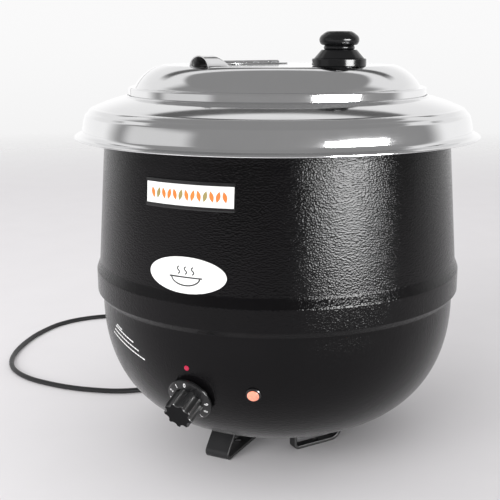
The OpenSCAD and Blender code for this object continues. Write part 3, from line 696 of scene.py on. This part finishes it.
def plug_shell():
    """A moulded plug: a ribbed neck that swells into a rounded body with finger hollows."""
    rows = [plug_row(-20.4, 4.2, 4.2, 1.0), plug_row(-20.0, 4.9, 4.9, 1.0)]
    for i in range(5):
        x = -19.0 + 3.2 * i
        r = 5.2 + 0.16 * (x + 20)
        rows += [
            plug_row(x, r, r, 1.0), plug_row(x + 1.3, r + 0.15, r + 0.15, 1.0),
            plug_row(x + 1.6, r - 0.55, r - 0.55, 1.0), plug_row(x + 2.7, r - 0.5, r - 0.5, 1.0),
        ]
    for t in range(9):
        s = t / 8
        e = s * s * (3 - 2 * s)
        rows.append(plug_row(-3.0 + 7.5 * s, 8.0 + 4.9 * e, 8.0 + 3.9 * e, 1.0 - 0.45 * e))
    for x, hollow in ((7.5, 0.0), (10, 0.5), (12, 0.8), (14, 0.8), (16, 0.5), (18.5, 0.0), (22.5, 0.0)):
        rows.append(plug_row(x, 12.95 - hollow, 11.95 - hollow * 0.4, 0.55))
    rows += [
        plug_row(23.6, 12.9, 11.9, 0.55), plug_row(24.0, 12.5, 11.5, 0.55),
        plug_row(24.4, 12.4, 11.4, 0.55), plug_row(27.4, 12.4, 11.4, 0.55),
        plug_row(27.9, 12.0, 11.0, 0.55), plug_row(28.0, 11.3, 10.3, 0.55),
    ]
    return loft("plug_moulding", rows, shift(-105.0, 238.0, 12.2))


plug = dress(plug_shell(), "kettle", "black_plastic", "plug_body")


def blade(side):
    """A flat pin with a rounded tip."""
    x0, x1, half = 28.0, 44.0, 3.2
    flat = rounded([(x0, -half), (x1, -half, 1.4), (x1, half, 1.4), (x0, half)])
    rows = []
    for y, inset in ((-0.75, 0.25), (-0.5, 0.0), (0.5, 0.0), (0.75, 0.25)):
        rows.append([(p.x - (inset if p.x > x0 + 1 else 0), y, p.y * (1 - inset / half)) for p in flat])
    return loft("blade", rows, shift(-105.0, 238.0 + side * 6.35, 7.2))


blades = dress(joined("plug_pins", [blade(-1), blade(1)]), "kettle", "brass_contacts", "plug_blades")
earth = dress(
    lathe(
        "plug_round_pin",
        rounded([(0, 0), (2.4, 0), (2.4, 18, 1.2), (0, 18)]),
        48,
        shift(-77.0, 238.0, 17.2) @ Matrix.Rotation(math.pi / 2, 4, "Y"),
    ),
    "kettle", "brass_contacts", "plug_earth_pin",
)


# ---- casing

CASING = [
    (131, CASING_TOP), (140, CASING_TOP, 2.5), (146, 292, 4), (146.5, 262, 30),
    (153.7, 166.3, 8), (RIDGE_R, 159, 4), (RIDGE_R, SEAM_Z, 0.5),
    (RIDGE_R - SHELL_T, SEAM_Z, 0.4), (RIDGE_R - SHELL_T, 159.4, 3), (152.5, 166.7, 7),
    (145.3, 262, 30), (144.8, 291.4, 3), (139.5, CASING_TOP - SHELL_T, 2), (131, CASING_TOP - SHELL_T),
]
dress(
    lathe("casing_shell", supported(rounded(CASING, steps=7)), 256),
    "kettle", "hammered_black", "upper_shell",
)


def bowl_outline(inset):
    """The bowl's curve, from its rim down to its flat base."""
    steps, wide, deep = 56, BOWL_R - BOWL_FLAT_R - inset, BOWL_TOP - BOWL_Z - inset
    angles = [math.pi / 2 * i / steps for i in range(steps + 1)]
    return [
        (BOWL_FLAT_R + wide * math.cos(a) ** BOWL_ROUND, BOWL_TOP - deep * math.sin(a) ** BOWL_ROUND)
        for a in angles
    ]


COLLAR_R = RIDGE_R - SHELL_T - 0.1
BOWL = (
    [(COLLAR_R, 150), (COLLAR_R, SEAM_Z - 0.4, 1.2), (BOWL_R + 0.2, SEAM_Z - 4.8, 2)]
    + bowl_outline(0)
    + [(53.2, BOWL_Z), (53.2, BOWL_Z + SHELL_T)]
    + bowl_outline(SHELL_T)[::-1]
    + [(BOWL_R - 1, SEAM_Z - 4.3), (COLLAR_R - SHELL_T, SEAM_Z + 0.1), (COLLAR_R - SHELL_T, 150)]
)
HOLES = [(DIAL_AZ, DIAL_Z, 4.6), (LAMP_AZ, LAMP_Z, 4.1), (GLAND_AZ, GLAND_Z, 6.1)]
bowl = lathe("bowl_shell", rounded(BOWL), 256)
cut(bowl, *[drill(r, -6, 6, 48, on_bowl(az, z)) for az, z, r in HOLES])
dress(bowl, "kettle", "hammered_black", "lower_bowl")


# ---- feet


FOOT_AWAY, FOOT_HALF_H = 49.0, 12.13


def foot_middle(azimuth):
    return Matrix.Rotation(math.radians(azimuth), 4, "Z") @ shift(0, -FOOT_AWAY, 0)


def foot_loop(index, azimuth, spin):
    """A flat strap bent to a closed loop, its edges rounded."""
    half_span, half_h, thick, near = 25.0, FOOT_HALF_H, 3.0, 5.0
    across = index % 2 == 0
    width, far, flare = (22.0, 5.0, 13.0) if across else (8.0, 11.0, 0.0)
    lean = 180 - math.degrees(math.atan2(flare, 2 * (half_h - near)))
    flat = []
    for corner, right, up, start, end, out in (
        (far, 1, 1, 0, 90, 0.0), (near, -1, 1, 90, lean, 0.0),
        (near, -1, -1, lean, 270, flare), (far, 1, -1, 270, 360, 0.0),
    ):
        for k in range(13):
            a = math.radians(start + (end - start) * k / 12)
            centre = ((half_span - corner) * right - out, (half_h - corner) * up)
            flat.append((*centre, corner, math.cos(a), math.sin(a)))
    section = rounded(
        [(0, -width / 2, 0.7), (0, width / 2, 0.7), (-thick, width / 2, 0.7), (-thick, -width / 2, 0.7)]
    )
    rows = []
    for cx, cz, corner, nx, nz in flat:
        row = []
        for s in section:
            u = cx + nx * (corner + s.x)
            v = cz + nz * (corner + s.x)
            row.append((s.y, u, v) if across else (u, s.y, v))
        rows.append(row)
    place = (
        foot_middle(azimuth)
        @ Matrix.Rotation(math.radians(spin - azimuth), 4, "Z")
        @ shift(0, 0, FOOT_HALF_H)
    )
    return loft(FEET[index][0].replace("foot", "strap"), rows, place, loop=True)


FEET = [("foot_front", -20, 0), ("foot_right", 70, 57), ("foot_rear", 160, 180), ("foot_left", 250, 90)]
for i, (foot_node, foot_az, foot_spin) in enumerate(FEET):
    strap = foot_loop(i, foot_az, foot_spin)
    hole = 4.5 if i % 2 == 0 else 2.5
    middle = Matrix.Translation(foot_middle(foot_az).to_translation())
    cut(strap, drill(2.1, 18, 27, 32, middle), drill(hole, -1, 7, 32, middle))
    dress(strap, "kettle", "black_strap", foot_node)


# ---- ring, pot and well


RING_ARCS = [
    (95, 163.2, 143.2, 76.5, 65.6, 14, -1), (151.3, 286.4, 8, 61, 24, 12, -1),
    (112.6, 271.2, 51, 19, 5, 12, -1), (168.2, 276.4, 4.6, 188, 250, 12, 1),
]
ring_outer = [(125.8, 302), (125.8, 303.8, 0.5)]
ring_inner = [(126.8, 301, 0.5)]
for cx, cz, radius, start, end, steps, side in RING_ARCS:
    ring_outer += arc(cx, cz, radius, start, end, steps)
    ring_inner += arc(cx, cz, radius + side, start, end, steps)
ring_outer += [(RING_R - 0.8, 271.2, 0.3), (RING_R, 270.5, 0.3)]
ring_inner += [(167, 270.6), (RING_R - 0.9, 269.5, 0.2), (RING_R, 269.7, 0.2)]
RING = [(118.5, 302, 0.3)] + ring_outer + ring_inner[::-1] + [(118.5, 301, 0.3)]
dress(lathe("ring_shell", supported(rounded(RING)), 256), "ring", "polished_steel", "top_ring")


def vessel(radius, bottom, corner, t, flange_r, flange_top):
    """An open vessel with a round bottom corner and a flat flange with a soft edge."""
    outer = [(0, bottom)] + arc(radius - corner, bottom + corner, corner, -90, 0, 16)
    inner = arc(radius - corner, bottom + corner, corner - t, 0, -90, 16)
    rim = [
        (radius, flange_top - t, 0.6), (flange_r, flange_top - t, 0.3),
        (flange_r, flange_top, 0.3), (radius - t, flange_top, 1.4),
    ]
    return supported(rounded(outer + rim + inner + [(0, bottom + t)], closed=False))


dress(
    lathe("pot_shell", vessel(117.6, 110.0, 8.0, 0.8, 121.5, 303.1), 224, closed=False),
    "pot", "well_steel", "inset_pot",
)
dress(
    lathe("well_shell", vessel(127.5, 104.0, 10.0, 1.0, 138.0, 298.3), 224, closed=False),
    "kettle", "well_steel", "water_well",
)


# ---- lid

LID_FLAT_R, LID_DOME_R, LID_DOME_DROP, LID_SAG, LID_LEDGE = 98.5, 118.7, 15.6, 2.2, 17.6
LID_FOOT = 302.3


def lid_face(inset):
    """One face of the lid's sheet, from its centre out and down to its rim."""
    p1 = Vector((LID_FLAT_R, LID_TOP - inset))
    p3 = Vector((LID_DOME_R - inset * 0.75, LID_TOP - LID_DOME_DROP - inset * 0.55))
    chord = p3 - p1
    radius = chord.length_squared / (8 * LID_SAG) + LID_SAG / 2
    across = Vector((-chord.y, chord.x)).normalized()
    centre = (p1 + p3) / 2 - across * (radius - LID_SAG)
    start = math.degrees(math.atan2(p1.y - centre.y, p1.x - centre.x))
    end = math.degrees(math.atan2(p3.y - centre.y, p3.x - centre.x))
    bow = arc(centre.x, centre.y, radius, start, end, 18)
    bow[0] = (*bow[0], 3.0)
    return (
        [(0, LID_TOP - inset)]
        + bow
        + [
            (LID_DOME_R + 1 - inset * 0.8, LID_TOP - LID_LEDGE - inset, 1.2),
            (LID_R - 0.6 - inset * 0.8, LID_TOP - LID_LEDGE - 0.3 - inset, 0.8),
            (LID_R - inset, LID_TOP - LID_LEDGE - 1.3 - inset, 0.8),
            (LID_R - inset, LID_FOOT, 0.25),
        ]
    )


LID = supported(rounded(lid_face(0) + lid_face(1.0)[::-1], closed=False))
SLOT_PLACE = Matrix.Rotation(math.radians(-12), 4, "Z")
HINGE_PLACE = LID_FRAME @ shift(-HINGE_X, 0, 0)
KNOB_X = 79.0
RIVET_X = 7.75
RIVETS = (-20.0, 0.0, 20.0)


def rivet_holes(side):
    """Cutters for one leaf's rivets."""
    return [drill(1.65, 320, 335, 24, HINGE_PLACE @ shift(side * RIVET_X, y, 0)) for y in RIVETS]


def lid_half(name, side):
    sheet = lathe(name, LID, 256, closed=False)
    start = -HINGE_X + side * 0.5
    end = 200.0 * side - HINGE_X
    keep = block("half", (abs(end - start), 420, 80), ((start + end) / 2, 0, 310), LID_FRAME)
    cut(sheet, keep, keep=True)
    tools = rivet_holes(side)
    if side > 0:
        tools.append(block("slot", (15, 13, 10), (0, -89.5, LID_TOP), SLOT_PLACE, 2.0))
        tools.append(drill(2.1, 320, 335, 32, LID_FRAME @ shift(KNOB_X, 0, 0)))
    return cut(sheet, *tools)


dress(lid_half("lid_rear_sheet", -1), "lid_rear", "polished_steel", "lid_rear_panel")
dress(lid_half("lid_front_sheet", 1), "lid_front", "polished_steel", "lid_front_panel")


def hood_shell():
    """A pressed arch over the ladle slot, open in front and sloping down behind."""
    arch_r, drop, slope_end = 10.0, 1.7, 24.3
    base = math.degrees(math.asin(drop / arch_r))
    stations = [0.0, 0.4, 1.5] + [3.0 + 1.5 * i for i in range(14)] + [slope_end - 0.05]
    rows = []
    for y in stations:
        row = []
        for k in range(41):
            a = math.radians(base + (180 - 2 * base) * k / 40)
            x, z = arch_r * math.cos(a), arch_r * math.sin(a) - drop
            roof = (slope_end - y) * 1.02
            gap = max(0.0, 1.6 - abs(z - roof))
            row.append((x, y, max(0.0, min(z, roof) - gap * gap / 6.4)))
        rows.append(row)
    place = SLOT_PLACE @ shift(0, -97, LID_TOP + 0.05)
    hood = loft("ladle_cowl", rows, place, ring=False)
    for polygon in hood.data.polygons:
        polygon.use_smooth = True
    centre = place @ (Vector((0, 6, 1)) * MM)
    top = max(hood.data.polygons, key=lambda p: p.center.z)
    if (top.center - centre).dot(top.normal) < 0:
        hood.data.flip_normals()
    thick = hood.modifiers.new("sheet", "SOLIDIFY")
    thick.thickness = 0.8 * MM
    thick.offset = -1.0
    thick.use_even_offset = False
    return settled(hood, 50.0)


cowl = dress(hood_shell(), "lid_front", "polished_steel", "ladle_hood")
cowl.data.materials.append(FINISHES["brushed_steel"])
COWL_AXIS = SLOT_PLACE @ Vector((0, 0, (LID_TOP - 1.65) * MM))
COWL_WAY = (SLOT_PLACE.to_3x3() @ Vector((0, 1, 0))).normalized()
for polygon in cowl.data.polygons:
    away = polygon.center - COWL_AXIS
    away -= COWL_WAY * away.dot(COWL_WAY)
    if away.dot(polygon.normal) < 0:
        polygon.material_index = 1


# ---- hinge

ALONG_Y = Matrix.Rotation(-math.pi / 2, 4, "X")


def knuckle_place(y):
    return HINGE_PLACE @ shift(0, y, HINGE_Z) @ ALONG_Y


def hinge_leaf(name, side, first):
    """A leaf plate with rounded corners and its share of the knuckles."""
    pitch = HINGE_LEN / 5
    width, thick = 14.0 - 1.9, 0.9
    middle_z = LID_TOP + 0.05 + thick / 2
    size, centre = (width, HINGE_LEN, thick), (side * (1.9 + width / 2), 0, middle_z)
    plate = block("plate", size, centre, HINGE_PLACE, 0.25)
    parts = [cut(plate, *rivet_holes(side), sharp=CRISP)]
    for i in range(first, 5, 2):
        y = -HINGE_LEN / 2 + i * pitch + 0.15
        length = pitch - 0.3
        tube = rounded([(0.85, 0, 0.1), (1.5, 0, 0.25), (1.5, length, 0.25), (0.85, length, 0.1)])
        parts.append(lathe("knuckle", tube, 40, knuckle_place(y)))
        size, centre = (1.3, length, thick), (side * 1.55, y + length / 2, middle_z)
        parts.append(block("root", size, centre, HINGE_PLACE, 0.2))
    return joined(name, parts, CRISP)


dress(hinge_leaf("leaf_rear", -1, 0), "lid_rear", "polished_steel", "hinge_rear_leaf")
dress(hinge_leaf("leaf_front", 1, 1), "lid_front", "polished_steel", "hinge_front_leaf")
dress(
    lathe(
        "hinge_rod",
        rounded([(0, 0), (0.8, 0, 0.2), (0.8, 61.6, 0.2), (0, 61.6)]),
        32, knuckle_place(-30.8),
    ),
    "lid_rear", "plated_steel", "hinge_pin",
)


def rivet_set(name, side):
    """Domed heads over the leaf, shanks through it and closed tails under the lid."""
    path = rounded(
        [(0, -1), (2.0, -1, 0.3), (2.8, -0.02, 0.2), (1.6, 0.0), (1.6, 1.95), (2.9, 1.95, 0.2),
         (2.6, 2.4, 0.4), (1.5, 2.8, 0.6), (0, 2.85)],
        closed=False,
    )
    places = [HINGE_PLACE @ shift(side * RIVET_X, y, LID_TOP - 1) for y in RIVETS]
    return joined(name, [lathe("rivet", path, 32, place, closed=False) for place in places])


dress(rivet_set("rivets_rear", -1), "lid_rear", "plated_steel", "rear_rivets")
dress(rivet_set("rivets_front", 1), "lid_front", "plated_steel", "front_rivets")


# ---- lid knob

KNOB_PLACE = LID_FRAME @ shift(KNOB_X, 0, LID_TOP)
KNOB_BASE = [(2.1, 0.05), (20.6, 0.05, 0.4), (21, 0.5, 0.3), (21, 5.4, 0.5), (20.3, 6, 0.3), (2.1, 6)]
dress(
    lathe("knob_plinth", supported(rounded(KNOB_BASE)), 96, KNOB_PLACE),
    "lid_front", "black_plastic", "knob_base", finish="knob_black",
)
KNOB = (
    [(0, 14), (2.05, 14), (2.05, 6.05), (19.4, 6.05, 0.3)]
    + [(14.2, 11.9, 1.0), (13.6, 12.5, 0.4), (10.9, 12.6, 0.2)]
    + arc(9.9, 14.1, 2.1, -40, 40, 10)
    + [(11.1, 15.7, 0.3)]
    + arc(10.8, 19.9, 4.6, -55, 50, 20)
    + [(11.6, 25.1, 1.6), (9.9, 26.05, 0.6), (9.2, 26.28, 0.4), (0, 26.3)]
)
dress(
    lathe("knob_turning", supported(rounded(KNOB, closed=False)), 96, KNOB_PLACE, closed=False),
    "lid_front", "black_plastic", "lid_knob", finish="knob_black",
)


# ---- dial

DIAL_PLACE = on_bowl(DIAL_AZ, DIAL_Z)
SKIRT_PATH = [
    (3.02, 4.2), (17, 4.2, 0.3), (17, 2.0, 0.2), (18.5, 2.0, 0.3), (18.5, 3.8, 0.5),
    (17.7, 4.6, 0.6), (12.5, 6.0, 0.3), (3.02, 6.0),
]
FLUTES = 9


def grip_row(radius, z):
    """A circle with nine round flutes cut into it."""
    row, count, step = [], 360, 2 * math.pi / FLUTES
    for k in range(count):
        a = 2 * math.pi * k / count
        off = a % step - step / 2
        reach = radius + 1.2
        inside = 3.4**2 - (reach * math.sin(off)) ** 2
        near = reach * math.cos(off) - math.sqrt(inside) if inside > 0 else radius + 4
        gap = max(0.0, 0.9 - abs(near - radius))
        r = min(near, radius) - gap * gap / 3.6
        turn = a + step / 2
        row.append((r * math.cos(turn), r * math.sin(turn), z))
    return row


def grip_shell():
    levels = [(12.5, 5.6), (12.5, 6.4), (12.45, 7.0)]
    levels += [(12.45 - 0.45 * i / 6, 7.0 + 13.7 * i / 6) for i in range(1, 7)]
    levels += [
        (12.0 - 0.9 * (1 - math.cos(math.pi / 2 * k / 5)), 21.4 + 0.95 * math.sin(math.pi / 2 * k / 5))
        for k in range(6)
    ]
    levels += [(10.2, 22.38), (6.0, 22.4)]
    rows = []
    for i, (r, z) in enumerate(levels):
        if i < len(levels) - 2:
            rows.append(grip_row(r, z))
        else:
            share = r / 11.1
            rows.append([(x * share, y * share, z) for x, y, _ in grip_row(11.1, z)])
    return loft("dial_grip", rows, DIAL_PLACE)


skirt = lathe("dial_skirt", supported(rounded(SKIRT_PATH)), 128, DIAL_PLACE)
dress(skirt, "dial", "black_plastic", "dial_knob")
grip = grip_shell()
cut(grip, drill(3.02, -2, 18, 48, DIAL_PLACE))
dress(grip, "dial", "black_plastic", finish="grip_side")
grip.data.materials.append(FINISHES["grip_end"])
GRIP_WAY = DIAL_PLACE.to_3x3() @ Vector((0, 0, 1))
for polygon in grip.data.polygons:
    if polygon.normal.dot(GRIP_WAY) > 0.9:
        polygon.material_index = 1


def skirt_point(x, y, lift):
    """A point on the skirt's cone, in the row frame."""
    r = math.hypot(x, y)
    z = 4.6 + (17.7 - r) * 1.4 / 5.2 + lift
    return (DIAL_PLACE @ (Vector((x, y, z)) * MM)) / MM


def digit_shapes():
    """The figures 0 to 9 round the skirt, each with its foot towards the grip."""
    shapes = []
    for number in range(10):
        curve = bpy.data.curves.new("figure", "FONT")
        curve.body = str(number)
        curve.size = 4.4
        curve.align_x = curve.align_y = "CENTER"
        curve.resolution_u = 4
        curve.offset = 0.06
        obj = in_scene("figure", curve)
        mesh = obj.evaluated_get(bpy.context.evaluated_depsgraph_get()).to_mesh()
        turn = Matrix.Rotation(math.radians(number * 30.0), 2)
        flat = [turn @ Vector((v.co.x, v.co.y + 15.2)) for v in mesh.vertices]
        shapes.append((flat, [tuple(p.vertices) for p in mesh.polygons]))
        bpy.data.objects.remove(obj)
    return shapes


dress(emboss("dial_figures", digit_shapes(), skirt_point, -0.1, 0.12), "dial", "white_print", "dial_marks")


# ---- lamp, index dot and gland

LAMP_PLACE = on_bowl(LAMP_AZ, LAMP_Z)
LENS = [(0, 0.3), (4, 0.3), (4, 1.6), (4.55, 1.65, 0.2), (4.5, 2.3, 0.5), (3.1, 3.05, 1.2), (0, 3.3)]
dress(
    lathe("lamp_lens_cap", rounded(LENS, closed=False), 64, LAMP_PLACE, closed=False),
    "kettle", "lamp_lens", "pilot_lens",
)
BEZEL = [(4.1, 0.2), (6, 0.2, 0.2), (5.9, 0.7, 0.3), (5.2, 1.5, 0.4), (4.1, 1.5, 0.1)]
dress(lathe("lamp_bezel_ring", rounded(BEZEL), 64, LAMP_PLACE), "kettle", "black_plastic", "pilot_bezel")
DOT = [(0, 0.05), (2.1, 0.05), (2.1, 0.3, 0.2), (1.7, 0.52, 0.5), (0, 0.55)]
dress(
    lathe("dot_enamel", rounded(DOT, closed=False), 48, on_bowl(DIAL_AZ, 107.0), closed=False),
    "kettle", "red_enamel", "index_dot",
)
GLAND = [(2.7, -8), (6, -8, 0.4), (6, 0.6), (10, 0.6, 0.3), (10, 2.2, 0.6), (9.0, 3.0, 0.6), (2.7, 3.0)]
dress(
    lathe("gland_flange", rounded(GLAND), 64, on_bowl(GLAND_AZ, GLAND_Z)),
    "kettle", "black_plastic", "cord_gland",
)


# ---- label and badge


def wall_point(x, z, lift):
    """A point on the casing's upper wall, seen from the front."""
    r = wall_radius(z) + lift
    return (x, -math.sqrt(r * r - x * x), z)


LABEL_Z, LABEL_W, LABEL_H, LIP = 238.5, 73.0, 15.5, 2.8


def plate_grid(half_w, z0, z1):
    """A flat grid as (points, faces)."""
    columns, rows = 36, 2
    verts = [
        Vector((-half_w + 2 * half_w * i / columns, z0 + (z1 - z0) * j / rows))
        for j in range(rows + 1)
        for i in range(columns + 1)
    ]
    faces = [
        (j * (columns + 1) + i, j * (columns + 1) + i + 1,
         (j + 1) * (columns + 1) + i + 1, (j + 1) * (columns + 1) + i)
        for j in range(rows)
        for i in range(columns)
    ]
    return verts, faces


def holder_section():
    """A back strip with a hooked lip above and below."""
    half = LABEL_H / 2
    return rounded(
        [
            (0.1, -half - LIP, 0.2), (1.5, -half - LIP, 0.4), (1.5, -half, 0.25), (1.0, -half, 0.1),
            (1.0, -half - 0.9), (0.6, -half - 0.9), (0.6, half + 0.9), (1.0, half + 0.9),
            (1.0, half, 0.1), (1.5, half, 0.25), (1.5, half + LIP, 0.4), (0.1, half + LIP, 0.2),
        ]
    )


def holder_piece():
    half_w = LABEL_W / 2 + 0.6
    rows = []
    for i in range(41):
        x = -half_w + 2 * half_w * i / 40
        rows.append([wall_point(x, LABEL_Z + p.y, p.x) for p in holder_section()])
    return loft("label_channel", rows)


dress(holder_piece(), "kettle", "black_plastic", "label_holder")
card = plate_grid(LABEL_W / 2, LABEL_Z - LABEL_H / 2 + 0.05, LABEL_Z + LABEL_H / 2 - 0.05)
dress(emboss("label_face", [card], wall_point, 0.65, 1.0), "kettle", "label_card", "menu_label")


def leaf_shape(x, z, length, width, tilt):
    """A pointed leaf."""
    turn = Matrix.Rotation(math.radians(tilt), 2)
    steps = 8
    shares = [i / steps for i in range(steps + 1)]
    right = [Vector((width / 2 * math.sin(math.pi * s), length * (s - 0.5))) for s in shares]
    left = [Vector((-p.x, p.y)) for p in right[1:-1]]
    verts = [turn @ p + Vector((x, z)) for p in right + left]
    faces = [(0, 1, steps + 1)]
    for i in range(1, steps - 1):
        faces.append((i, i + 1, steps + 1 + i, steps + i))
    faces.append((steps - 1, steps, 2 * steps - 1))
    return verts, faces


orange, green = [], []
for i in range(13):
    x = -30.0 + 5.0 * i
    (green if i % 4 == 1 else orange).append(leaf_shape(x, LABEL_Z, 8.4, 3.4, -14 if i % 2 else 14))
for leaves_name, leaves, leaves_finish in (
    ("label_leaves_warm", orange, "print_orange"), ("label_leaves_dark", green, "print_green"),
):
    dress(emboss(leaves_name, leaves, wall_point, 0.95, 1.03), "kettle", "label_card", finish=leaves_finish)

BADGE_Z, BADGE_A, BADGE_B = 180.0, 32.5, 13.5


def badge_point(x, y, lift):
    return wall_point(x, BADGE_Z + y, lift)


dress(
    emboss("badge_plate", [oval(BADGE_A, BADGE_B)], badge_point, 0.1, 0.6),
    "kettle", "label_card", "oval_badge",
)


def badge_marks():
    """A bowl with three curls of steam over it."""
    shapes = []
    for x in (-6.0, 0.0, 6.0):
        shapes.append(stroke([(x + 1.1 * math.sin(t * 0.9), 0.9 + 0.75 * t) for t in range(8)], 1.0))
    angles = [math.radians(a) for a in range(180, 361, 12)]
    shapes.append(stroke([(12 * math.cos(a), -1.2 + 6.4 * math.sin(a)) for a in angles], 1.1))
    shapes.append(bar(-13.5, 13.5, -1.4, 1.1))
    return shapes


mark = emboss("badge_mark", badge_marks(), badge_point, 0.55, 0.66)
dress(mark, "kettle", "label_card", finish="print_black")


def bowl_point(s, z, lift):
    """A point on the bowl, s millimetres round from the printed block's centre."""
    place = on_bowl(-24.5 + math.degrees(s / bowl_radius(z)), z)
    return (place @ Vector((0, 0, lift * MM))) / MM


def dash_row(end, z, length):
    """Short strokes in a line that slopes down to its right end."""
    dashes, s = [], -length
    while s < -1.0:
        stop = min(s + (1.9, 1.2, 2.4, 1.5)[len(dashes) % 4], 0.0)
        steps = [s + (stop - s) * k / 3 for k in range(4)]
        points = [(end + at, z - 0.23 * at) for at in steps]
        dashes.append(stroke(points, 1.2, 4))
        s = stop + 1.5
    return dashes


DASH_ROWS = [(-9.5, 121.4, 11.0), (7.0, 115.4, 30.0), (11.0, 110.2, 37.0), (18.0, 104.2, 48.0)]
dress(
    emboss("printed_bars", [d for row in DASH_ROWS for d in dash_row(*row)], bowl_point, -0.05, 0.05),
    "kettle", "white_print",
)


# ---- stage


def stage_floor():
    rings = [0.0, 0.25, 0.5, 1.0, 2.0, 3.5]
    obj = lathe("floor", [(r / MM, 0.0) for r in rings], 96, closed=False)
    n = Finish("floor")
    split = n.add("ShaderNodeVectorMath", operation="LENGTH")
    n.link(n.place, split.inputs[0])
    away = n.range(split.outputs["Value"], 1.3, 3.0, 0.0, 1.0, smooth=True)
    base = n.mix(n.noise(60.0, 3.0), (0.715, 0.7, 0.713), (0.745, 0.73, 0.743))
    n.finish(base, 0.55, n.bump(n.noise(1.5, 3.0), 0.02), Specular_IOR_Level=0.0)
    clear = n.add("ShaderNodeBsdfTransparent")
    blend = n.add("ShaderNodeMixShader")
    n.link(away, blend.inputs[0])
    n.link(n.shader.outputs[0], blend.inputs[1])
    n.link(clear.outputs[0], blend.inputs[2])
    n.link(blend.outputs[0], n.tree.nodes["Material Output"].inputs["Surface"])
    obj.data.materials.append(n.material)
    return obj


stage_floor()


def studio_world():
    """White studio walls with a grey front, a softbox in it, a grey ceiling patch and a dark rail."""
    world = bpy.data.worlds.new("studio")
    bpy.context.scene.world = world
    n = Nodes(world)
    n.tree.nodes.clear()
    calc = n.math

    def window(value, start, end, soft):
        """1 between start and end, fading over soft on each side."""
        up = n.range(value, start - soft, start + soft, 0.0, 1.0, smooth=True)
        down = n.range(value, end + soft, end - soft, 0.0, 1.0, smooth=True)
        return calc("MULTIPLY", up, down)

    split = n.add("ShaderNodeSeparateXYZ")
    n.link(n.add("ShaderNodeTexCoord").outputs["Generated"], split.inputs[0])
    x, y, z = split.outputs
    azimuth = calc("MULTIPLY", calc("ARCTAN2", x, calc("MULTIPLY", y, -1.0)), 180 / math.pi)
    height = calc("MULTIPLY", calc("ARCSINE", z), 180 / math.pi)

    def blend(base, factor, level):
        """base moved towards level by factor."""
        return calc("ADD", base, calc("MULTIPLY", factor, calc("SUBTRACT", level, base)))

    # How far overhead directions lean towards the stage's front side and across it
    overhead = calc("MAXIMUM", z, 0.05)
    side = (math.sin(CAMERA_AZ), math.cos(CAMERA_AZ))
    forward = calc("SUBTRACT", calc("MULTIPLY", x, side[0]), calc("MULTIPLY", y, side[1]))
    lean = calc("DIVIDE", forward, overhead)
    sideways = calc("ADD", calc("MULTIPLY", x, side[1]), calc("MULTIPLY", y, side[0]))
    across = calc("DIVIDE", sideways, overhead)

    walls = blend(1.12, window(height, 16, 200, 8), 0.97)
    walls = blend(walls, window(height, -200, -12, 4), 0.8)
    rail = calc("MULTIPLY", window(lean, -1.36, -1.0, 0.05), window(across, -1.0, 1.0, 0.2))
    walls = blend(walls, calc("MULTIPLY", rail, calc("GREATER_THAN", z, 0.2)), 0.13)
    front = calc("MULTIPLY", window(azimuth, -82, 128, 10), window(height, -200, 60, 4))
    walls = blend(walls, front, 0.33)
    walls = blend(walls, calc("MULTIPLY", window(height, 46.5, 200, 2), window(lean, -0.75, 99, 0.04)), 0.31)
    left = calc("MULTIPLY", window(azimuth, -69, -24, 6), window(height, -8, 22, 5))
    walls = blend(walls, left, 0.8)

    # The camera sees a pale backdrop, and matt surfaces an even light
    backdrop = n.range(height, -26.0, 3.0, 0.7, 0.955, smooth=True)
    path = n.add("ShaderNodeLightPath")
    level = blend(walls, path.outputs["Is Diffuse Ray"], 0.93)
    level = blend(level, path.outputs["Is Camera Ray"], backdrop)
    background = n.add("ShaderNodeBackground")
    n.link(level, background.inputs["Strength"])
    background.inputs["Color"].default_value = (1.0, 0.998, 1.0, 1.0)
    n.link(background.outputs[0], n.add("ShaderNodeOutputWorld").inputs["Surface"])


studio_world()


def soft_light(name, location, target, size, energy, diffuse=True, glossy=False):
    data = bpy.data.lights.new(name, "AREA")
    data.shape = "RECTANGLE"
    data.size, data.size_y = size
    data.energy = energy
    obj = in_scene(name, data)
    obj.location = location
    obj.rotation_euler = (Vector(target) - Vector(location)).to_track_quat("-Z", "Y").to_euler()
    obj.visible_camera = False
    obj.visible_diffuse = diffuse
    obj.visible_glossy = glossy
    return obj


soft_light("top_light", (-0.5, -0.2, 2.0), (0, 0, 0.1), (1.6, 1.6), 2.5)
soft_light("front_light", (-0.35, -1.9, 0.9), (0, 0, 0.1), (1.5, 1.0), 30.0)
# A tall softbox to the right that only the glossy finishes pick up
STRIP_AZ = math.radians(69.0)
STRIP_AT = (2.0 * math.sin(STRIP_AZ), -2.0 * math.cos(STRIP_AZ), 0.34)
soft_light("strip_light", STRIP_AT, (0, 0, 0.3), (1.2, 0.56), 97.0, diffuse=False, glossy=True)

bpy.context.scene.view_settings.view_transform = "Standard"
